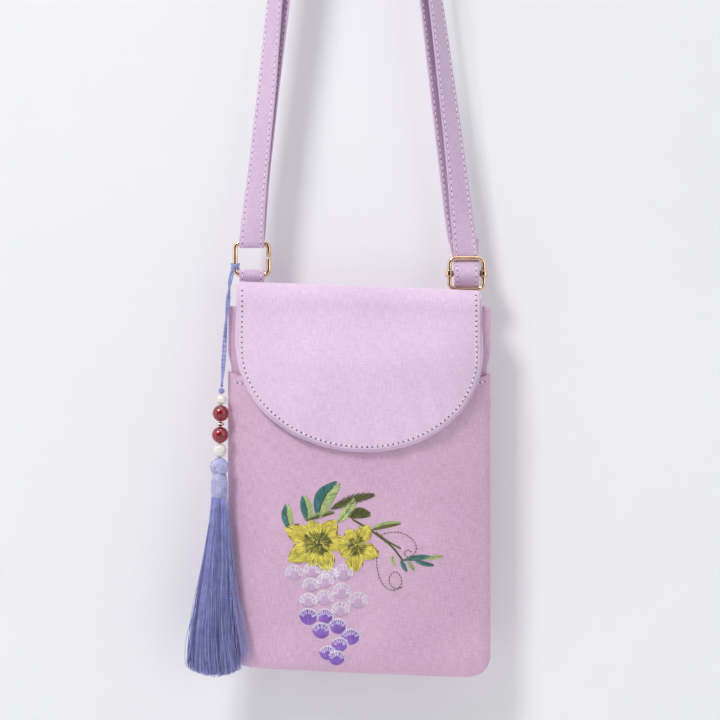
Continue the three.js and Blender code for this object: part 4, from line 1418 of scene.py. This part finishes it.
# %% The spray
leaf((58, 200), (43, 112), 40, -5, "green", "teal", 0.6)
leaf((116, 170), (101, 82), 42, 3, "green", "teal", 0.6)
leaf((105, 166), (205, 138), 22, -5, "olive", "green", 0.35)
leaf((150, 162), (219, 36), 66, -16, "green", "teal", 0.55)
leaf((250, 152), (329, 146), 38, -8, "olive", "olive", 0.4)
leaf((193, 128), (343, 79), 38, -8, "olive", "olive", 0.3, teeth=9)
leaf((217, 174), (277, 88), 36, 5, "green", "green", 0.8)
leaf((330, 198), (431, 176), 22, -5, "olive", "green", 0.65)
stem([(262, 160), (300, 182), (340, 208), (400, 255), (438, 303)], 6, 0.35)
stem([(345, 206), (385, 236), (431, 262)], 5, 0.45)
stem([(436, 302), (470, 301), (500, 300)], 4, 0.4)
leaf((402, 288), (410, 321), 15, 1, "green", "green", 0.8)
leaf((432, 302), (452, 342), 15, 1, "teal", "teal", 0.55)
leaf((457, 306), (476, 339), 14, -1, "green", "green", 0.75)
leaf((440, 303), (534, 291), 18, -3, "teal", "teal", 0.5)
leaf((512, 300), (578, 291), 14, -2, "green", "green", 0.75)
leaf((480, 304), (544, 321), 15, 2, "teal", "teal", 0.45)
BLUSH_PETALS = [
    (68, 347, 28), (130, 337, 27), (238, 345, 30), (190, 352, 26), (175, 373, 27), (125, 388, 26),
    (231, 408, 29), (173, 432, 28), (117, 441, 27), (287, 441, 30), (227, 472, 28),
]
VIOLET_PETALS = [
    (173, 495, 27), (117, 497, 30), (217, 530, 28), (160, 545, 29), (262, 566, 29), (224, 593, 26),
    (182, 622, 26), (214, 640, 27),
]
for cx, cy, r in BLUSH_PETALS:
    cluster_petal(cx, cy, r * 1.1, "blush")
for cx, cy, r in VIOLET_PETALS:
    cluster_petal(cx, cy, r * 1.12, "violet")
SMALL_FLOWER = [(248, 194, 24), (327, 183, 31), (358, 292, 31), (274, 348, 34), (226, 290, 26)]
LARGE_FLOWER = [
    (34, 190, 37), (122, 162, 31), (214, 163, 33), (257, 242, 32), (190, 344, 37), (120, 330, 26),
    (45, 306, 37),
]
FLOWERS = [((275, 250), 20, SMALL_FLOWER), ((152, 243), 28, LARGE_FLOWER)]
HEART_THREADS, HEART_KNOTS = 44, 14
for heart, reach_out, petals in FLOWERS:
    for x, y, width in petals:
        flower_petal(heart, (x, y), width)
    for k in range(HEART_THREADS):
        a = 2 * math.pi * k / HEART_THREADS + dice.uniform(-0.1, 0.1)
        r = reach_out * dice.uniform(0.6, 1.5)
        end = (heart[0] + r * math.cos(a), heart[1] + r * math.sin(a))
        silks["olive"].append(laid(heart, end, 0.42, tone(0.3, 0.3)))
    for k in range(HEART_KNOTS):
        a = dice.uniform(0, 2 * math.pi)
        out = reach_out * dice.uniform(0.1, 0.7)
        at = np.array([heart[0] + out * math.cos(a), heart[1] + out * math.sin(a)])
        silks["yellow"].append(laid(at - 2.4, at + 2.4, 0.52, 0.95, 0.17 * MM))
LONG_TENDRIL = [
    (355, 270), (349, 302), (353, 340), (365, 375), (386, 400), (415, 404), (433, 385), (430, 356),
    (412, 342), (395, 356), (393, 380), (410, 398), (441, 395),
]
SHORT_TENDRIL = [
    (352, 220), (385, 209), (430, 208), (470, 230), (485, 260), (474, 284), (452, 290), (443, 276),
    (458, 268), (474, 280),
]
running(LONG_TENDRIL)
running(SHORT_TENDRIL)
spray = {name: thread_mesh("embroidery_" + name, threads, 4) for name, threads in silks.items()}
print({name: len(threads) for name, threads in silks.items()})

# %% [markdown]
# ## Cloth finishes
# The cloth is a fine plain weave: each warp thread goes over one weft thread and under the next. The
# pattern is worked out from the cloth's own UV, which is in metres, so the threads stay the same
# size on every piece. Slubs, a faint mottling and a bump of the same threads make it a woven surface.


# %% Colours and shaders
def linear(r, g, b):
    """A colour given as 0-255 values, as the linear values that a shader takes."""
    shares = [c / 255 for c in (r, g, b)]
    return (*(c / 12.92 if c <= 0.04045 else ((c + 0.055) / 1.055) ** 2.4 for c in shares), 1.0)


def new_finish(name, roughness, **sockets):
    """A material with its shader; the sockets that stay the same are set on the shader itself."""
    material = bpy.data.materials.new(name)
    material.use_nodes = True
    shader = material.node_tree.nodes["Principled BSDF"]
    shader.inputs["Roughness"].default_value = roughness
    for label, value in sockets.items():
        shader.inputs[label.replace("_", " ")].default_value = value
    return material, shader


def node(material, kind, **settings):
    made = material.node_tree.nodes.new(kind)
    for label, value in settings.items():
        if hasattr(made, label):
            setattr(made, label, value)
        else:
            made.inputs[label].default_value = value
    return made


def feed(material, socket, value):
    """Links a socket to another one, or sets it to a plain value."""
    if isinstance(value, bpy.types.NodeSocket):
        material.node_tree.links.new(value, socket)
    else:
        socket.default_value = value


print("middle grey", [round(v, 3) for v in linear(128, 128, 128)])

# %% Node helpers
def sums(material, operation, *values):
    """A math node on values or sockets."""
    made = node(material, "ShaderNodeMath", operation=operation)
    for socket, value in zip(made.inputs, values):
        feed(material, socket, value)
    return made.outputs[0]


def object_place(material):
    return node(material, "ShaderNodeTexCoord").outputs["Object"]


def uv_parts(material, layer):
    """The two parts of a piece's own UV."""
    parts = node(material, "ShaderNodeSeparateXYZ")
    feed(material, parts.inputs[0], node(material, "ShaderNodeUVMap", uv_map=layer).outputs[0])
    return parts.outputs[0], parts.outputs[1]


def mixed(material, factor, a, b):
    """A colour mix of values or sockets."""
    made = node(material, "ShaderNodeMix", data_type="RGBA")
    for socket, value in ((made.inputs[0], factor), (made.inputs[6], a), (made.inputs[7], b)):
        feed(material, socket, value)
    return made.outputs[2]


def noise(material, where, scale, detail=3, low=0.35, high=0.65):
    """Noise between 0 and 1 with its contrast stretched."""
    made = node(material, "ShaderNodeTexNoise", Scale=scale, Detail=detail)
    feed(material, made.inputs["Vector"], where)
    spread = node(material, "ShaderNodeMapRange")
    for label, value in (("From Min", low), ("From Max", high), ("Value", made.outputs[0])):
        feed(material, spread.inputs[label], value)
    return spread.outputs[0]


def bump(material, shader, height, distance, strength=1.0):
    made = node(material, "ShaderNodeBump", Strength=strength, Distance=distance)
    feed(material, made.inputs["Height"], height)
    feed(material, shader.inputs["Normal"], made.outputs[0])


def paint(material, shader, colour):
    feed(material, shader.inputs["Base Color"], colour)


print("node helpers ready")

# %% Woven cloth
# a slub is thin across its thread and long along it
SLUB_ACROSS, SLUB_ALONG = 2100, 260


def woven(name, light, dark, pitch, sheen=0.25):
    """A plain weave worked out from the UV: each thread goes over one and under the next."""
    cloth, shader = new_finish(
        name, 0.86, Sheen_Weight=sheen, Sheen_Roughness=0.5, Specular_IOR_Level=0.25
    )

    def do(operation, *values):
        return sums(cloth, operation, *values)

    across, down = uv_parts(cloth, "cloth")
    ways = (across, down)
    warp, weft = (do("ABSOLUTE", do("SINE", do("MULTIPLY", way, math.pi / pitch))) for way in ways)
    squares = do("ADD", *(do("FLOOR", do("DIVIDE", way, pitch)) for way in ways))
    over = do("ABSOLUTE", do("MODULO", squares, 2.0))
    under = do("SUBTRACT", 1.0, over)
    height = do("ADD", do("MULTIPLY", over, warp), do("MULTIPLY", under, weft))
    mottle = noise(cloth, object_place(cloth), 30, 3, 0.3, 0.7)
    where = node(cloth, "ShaderNodeUVMap", uv_map="cloth").outputs[0]
    streaks = []
    for stretch in ((SLUB_ALONG, SLUB_ACROSS, 1), (SLUB_ACROSS, SLUB_ALONG, 1)):
        mapping = node(cloth, "ShaderNodeMapping", Scale=stretch)
        feed(cloth, mapping.inputs["Vector"], where)
        streaks.append(noise(cloth, mapping.outputs[0], 1, 2, 0.3, 0.7))
    slubs = do("MULTIPLY", do("ADD", *streaks), 0.5)
    # The weave's height also tints the cloth: thread crests are painted lighter and the hollows between
    # them darker, as painted shade.
    tint = do("MULTIPLY_ADD", height, 0.3, do("MULTIPLY", mottle, 0.14))
    tint = do("MULTIPLY_ADD", slubs, 0.62, tint)
    paint(cloth, shader, mixed(cloth, tint, dark, light))
    bump(cloth, shader, do("ADD", height, do("MULTIPLY", slubs, 0.5)), 0.07 * MM, 0.6)
    return cloth


lavender_weave = woven("lavender_weave", linear(232, 196, 220), linear(180, 140, 170), 0.34 * MM)
flap_weave = woven("flap_weave", linear(242, 217, 240), linear(200, 170, 200), 0.3 * MM, sheen=0.35)
strap_weave = woven("strap_weave", linear(226, 200, 226), linear(186, 156, 188), 0.4 * MM)
print("cloths", [cloth.name for cloth in (lavender_weave, flap_weave, strap_weave)])

# %% Thread, silk and the painted shade of needle holes
def silky(name, light, dark, roughness, sheen, pitch=0.5 * MM, ply=2.0):
    """Twisted thread: slanted plies from the UV along and round it, with the tint of each thread."""
    silk, shader = new_finish(
        name, roughness, Sheen_Weight=sheen, Sheen_Roughness=0.3, Specular_IOR_Level=0.45
    )

    def do(operation, *values):
        return sums(silk, operation, *values)

    along, round_it = uv_parts(silk, "along")
    slant = do("MULTIPLY_ADD", along, 2 * math.pi / pitch, do("MULTIPLY", round_it, 2 * math.pi * ply))
    plies = do("MULTIPLY_ADD", do("SINE", slant), 0.5, 0.5)
    own_tint = node(silk, "ShaderNodeAttribute", attribute_name="tint").outputs["Fac"]
    uneven = noise(silk, object_place(silk), 260, 2)
    tint = do("MULTIPLY_ADD", own_tint, 0.55, do("MULTIPLY", uneven, 0.25))
    # The plies also tint the thread: their crests are painted lighter and the grooves between them darker,
    # as painted shade.
    tint = do("MULTIPLY_ADD", plies, 0.2, tint)
    paint(silk, shader, mixed(silk, tint, dark, light))
    bump(silk, shader, plies, 0.03 * MM, 0.5)
    return silk


sewing_thread = silky("sewing_thread", linear(252, 244, 253), linear(226, 208, 230), 0.6, 0.2)
cord_silk = silky("cord_silk", linear(188, 192, 234), linear(98, 102, 176), 0.5, 0.3, 0.8 * MM)
tassel_silk = silky("tassel_silk", linear(188, 192, 250), linear(76, 78, 162), 0.42, 0.3, 1.2 * MM, 1.0)
winding_silk = silky("winding_silk", linear(216, 216, 238), linear(126, 128, 186), 0.42, 0.3, 1.0 * MM, 1.0)
# light and dark of each silk, and its roughness
SPRAY_COLOURS = {
    "yellow": ((255, 242, 112), (132, 112, 10), 0.34),
    "olive": ((128, 128, 62), (34, 38, 18), 0.4),
    "teal": ((96, 158, 152), (18, 58, 62), 0.4),
    "green": ((214, 228, 160), (84, 112, 50), 0.38),
    "violet": ((182, 138, 226), (96, 48, 156), 0.38),
    "blush": ((224, 196, 224), (190, 156, 190), 0.4),
    "pale": ((255, 253, 255), (236, 224, 242), 0.4),
    "gold": ((142, 136, 72), (62, 64, 32), 0.45),
}
spray_silk = {
    name: silky("silk_" + name, linear(*light), linear(*dark), roughness, 0.15)
    for name, (light, dark, roughness) in SPRAY_COLOURS.items()
}
# The needle holes are small discs of this dark colour: painted shade where each hole sinks into the cloth.
hole_shade_paint = silky("hole_shade_paint", linear(138, 104, 136), linear(104, 74, 104), 0.9, 0.0)
print("silks", list(spray_silk))

# %% [markdown]
# ## Metal, pearl and red beads
# The fittings are plated a pale gold: polished, with fine rub marks that a rough noise makes. A pearl
# is milky, with a clear skin and a faint pink and green that shows toward its edge. The red beads are
# dense and glossy, with darker clouds.


# %% Metal and beads
def rubbed_metal(name, light, dark):
    metal, shader = new_finish(name, 0.16, Metallic=1.0)
    solid = object_place(metal)
    clouds = noise(metal, solid, 160, 3)
    paint(metal, shader, mixed(metal, clouds, light, dark))
    scratches = noise(metal, solid, 2600, 4)
    feed(metal, shader.inputs["Roughness"], sums(metal, "MULTIPLY_ADD", scratches, 0.08, 0.07))
    bump(metal, shader, scratches, 0.01 * MM, 0.12)
    return metal


pale_gold = rubbed_metal("pale_gold_plate", linear(238, 208, 178), linear(204, 166, 134))

pearl_skin, shader = new_finish(
    "pearl_skin", 0.24, Coat_Weight=0.7, Coat_Roughness=0.08, Specular_IOR_Level=0.5
)
solid = object_place(pearl_skin)
rim = node(pearl_skin, "ShaderNodeLayerWeight", Blend=0.45).outputs["Facing"]
cream = mixed(pearl_skin, noise(pearl_skin, solid, 240, 3), linear(240, 234, 226), linear(222, 210, 202))
lustre = mixed(pearl_skin, noise(pearl_skin, solid, 120, 1), linear(226, 196, 204), linear(196, 208, 204))
paint(pearl_skin, shader, mixed(pearl_skin, sums(pearl_skin, "MULTIPLY", rim, 0.6), cream, lustre))
bump(pearl_skin, shader, noise(pearl_skin, solid, 700, 3), 0.02 * MM, 0.25)

red_gloss, shader = new_finish("red_gloss", 0.22, Coat_Weight=0.6, Coat_Roughness=0.06)
solid = object_place(red_gloss)
clouds = noise(red_gloss, solid, 300, 4)
paint(red_gloss, shader, mixed(red_gloss, clouds, linear(150, 8, 26), linear(104, 4, 18)))
bump(red_gloss, shader, noise(red_gloss, solid, 900, 2), 0.02 * MM, 0.15)
print("finishes", len(bpy.data.materials))

# %% [markdown]
# ## Dressing the frame
# Every piece rides on the part's one body, takes its material and says which plain solids it stands
# for.


# %% Pieces, finishes and the solids they replace
def dress(piece, finish, slot_name, *nodes):
    piece.data.materials.clear()
    piece.data.materials.append(finish)
    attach(piece, "root")
    if nodes:
        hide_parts(*nodes)


RED_BEAD = (red_gloss, "red_bead")
PEARL = (pearl_skin, "pearl")
GOLD = (pale_gold, "pale_gold")
CORD = (cord_silk, "periwinkle_silk")
LAVENDER = (lavender_weave, "lavender_cloth")
FLAP = (flap_weave, "flap_cloth")
STRAP = (strap_weave, "strap_cloth")
for piece, look, solid_name in (
    (pouch_body, LAVENDER, "pouch"),
    (front_pocket_cloth, LAVENDER, "front_pocket"),
    (flap_backing, FLAP, "flap"),
    (flap_face, FLAP, "flap"),
    (strap_cloth, STRAP, "strap"),
    (tab_cloth, STRAP, "ring_tab"),
    (ring_wire, GOLD, "ring"),
    (slider_wire, GOLD, "slider_frame"),
    (slider_rod, GOLD, "slider_bar"),
    (hitch_cord, CORD, "cord_hitch"),
    (charm_cord_strands, CORD, "charm_cord"),
    (cord_knot_turns, CORD, "cord_knot"),
    (bead_thread_plies, CORD, "bead_thread"),
    (tassel_head, (winding_silk, "periwinkle_silk"), "tassel"),
    (tassel_skirt, (tassel_silk, "periwinkle_silk"), "tassel"),
):
    dress(piece, *look, solid_name)
for piece, look in zip(BEADS, (PEARL, RED_BEAD, GOLD, RED_BEAD, PEARL)):
    dress(piece, *look, piece.name.replace("_drilled", ""))
for row in (strap_stitches, tab_stitches, edge_stitches):
    dress(row, sewing_thread, "strap_cloth")
for name, piece in spray.items():
    dress(piece, spray_silk[name], "lavender_cloth")
dress(painted_hole_shade, hole_shade_paint, "flap_cloth")
dress(strip_painted_hole_shade, hole_shade_paint, "strap_cloth")

# %% [markdown]
# ## Stage, light and sky
# A pale floor lies far below and a pale screen stands close behind. The screen is clear from behind
# and throws no shadow, so the back of the pouch is seen and lit. The light is soft and comes from the
# upper left.

# %% Floor and screen
FLOOR_Z = -0.75
SCREEN_Y, SCREEN_Z = 0.022, 1.25
paper, paper_shader = new_finish("pale_paper", 0.9)
mottle = noise(paper, object_place(paper), 3, 2)
paint(paper, paper_shader, mixed(paper, mottle, linear(236, 236, 237), linear(232, 232, 234)))
bpy.ops.mesh.primitive_plane_add(size=6, location=(0, 0, FLOOR_Z))
floor = bpy.context.object
floor.name = "floor"
floor.data.materials.append(paper)
screen_paper = paper.copy()
screen_paper.name = "screen_paper"
nodes = screen_paper.node_tree.nodes
clear = node(screen_paper, "ShaderNodeBsdfTransparent")
side_mix = node(screen_paper, "ShaderNodeMixShader")
behind = node(screen_paper, "ShaderNodeNewGeometry").outputs["Backfacing"]
shadow = node(screen_paper, "ShaderNodeLightPath").outputs["Is Shadow Ray"]
feed(screen_paper, side_mix.inputs[0], sums(screen_paper, "MAXIMUM", behind, shadow))
feed(screen_paper, side_mix.inputs[1], nodes["Principled BSDF"].outputs[0])
feed(screen_paper, side_mix.inputs[2], clear.outputs[0])
feed(screen_paper, nodes["Material Output"].inputs["Surface"], side_mix.outputs[0])
bpy.ops.mesh.primitive_plane_add(size=4, location=(0, SCREEN_Y, SCREEN_Z), rotation=(math.pi / 2, 0, 0))
screen = bpy.context.object
screen.name = "screen"
screen.data.materials.append(screen_paper)
print("floor and screen at", FLOOR_Z, SCREEN_Y)

# %% Lights
def soft_light(name, at, size, energy):
    bpy.ops.object.light_add(type="AREA", location=at)
    light = bpy.context.object
    light.name = name
    light.data.size = size
    light.data.energy = energy
    toward = Vector((0, 0, view_z)) - Vector(at)
    light.rotation_euler = toward.to_track_quat("-Z", "Y").to_euler()


soft_light("key", (-0.95, -1.25, 1.2), 0.5, 28)
soft_light("fill", (1.5, -1.7, -0.1), 1.6, 7)
soft_light("top", (0.1, -0.25, 1.5), 0.7, 6)
soft_light("back", (-0.6, 1.9, 0.5), 1.4, 22)
bpy.context.scene.view_settings.view_transform = "Standard"
world = bpy.data.worlds.new("studio")
bpy.context.scene.world = world
world.use_nodes = True

# %% [markdown]
# ### What the polished parts reflect
# The sky lights the scene evenly, but what the metal and the beads reflect is darker on one side, so
# that their rounds show. Only glossy rays see this ramp from dark to bright.

# %% Sky
SKY_COLOUR = (0.9, 0.92, 0.96, 1)
SKY_STRENGTH = 0.4
DARK_SIDE, BRIGHT_SIDE = (0.16, 0.015), (0.4, 1.5)
sky = world.node_tree
backdrop = sky.nodes["Background"]
backdrop.inputs[0].default_value = SKY_COLOUR
direction = node(world, "ShaderNodeSeparateXYZ")
feed(world, direction.inputs[0], node(world, "ShaderNodeTexCoord").outputs["Generated"])
ramp = node(world, "ShaderNodeValToRGB")
feed(world, ramp.inputs[0], sums(world, "ADD", direction.outputs["Y"], 1.0))
for stop, (position, level) in zip(ramp.color_ramp.elements, (DARK_SIDE, BRIGHT_SIDE)):
    stop.position = position
    stop.color = (level, level, level, 1)
gloss = node(world, "ShaderNodeMix")
feed(world, gloss.inputs[0], node(world, "ShaderNodeLightPath").outputs["Is Glossy Ray"])
gloss.inputs[2].default_value = SKY_STRENGTH
feed(world, gloss.inputs[3], ramp.outputs[0])
feed(world, backdrop.inputs[1], gloss.outputs[0])
print("sky strength", SKY_STRENGTH)
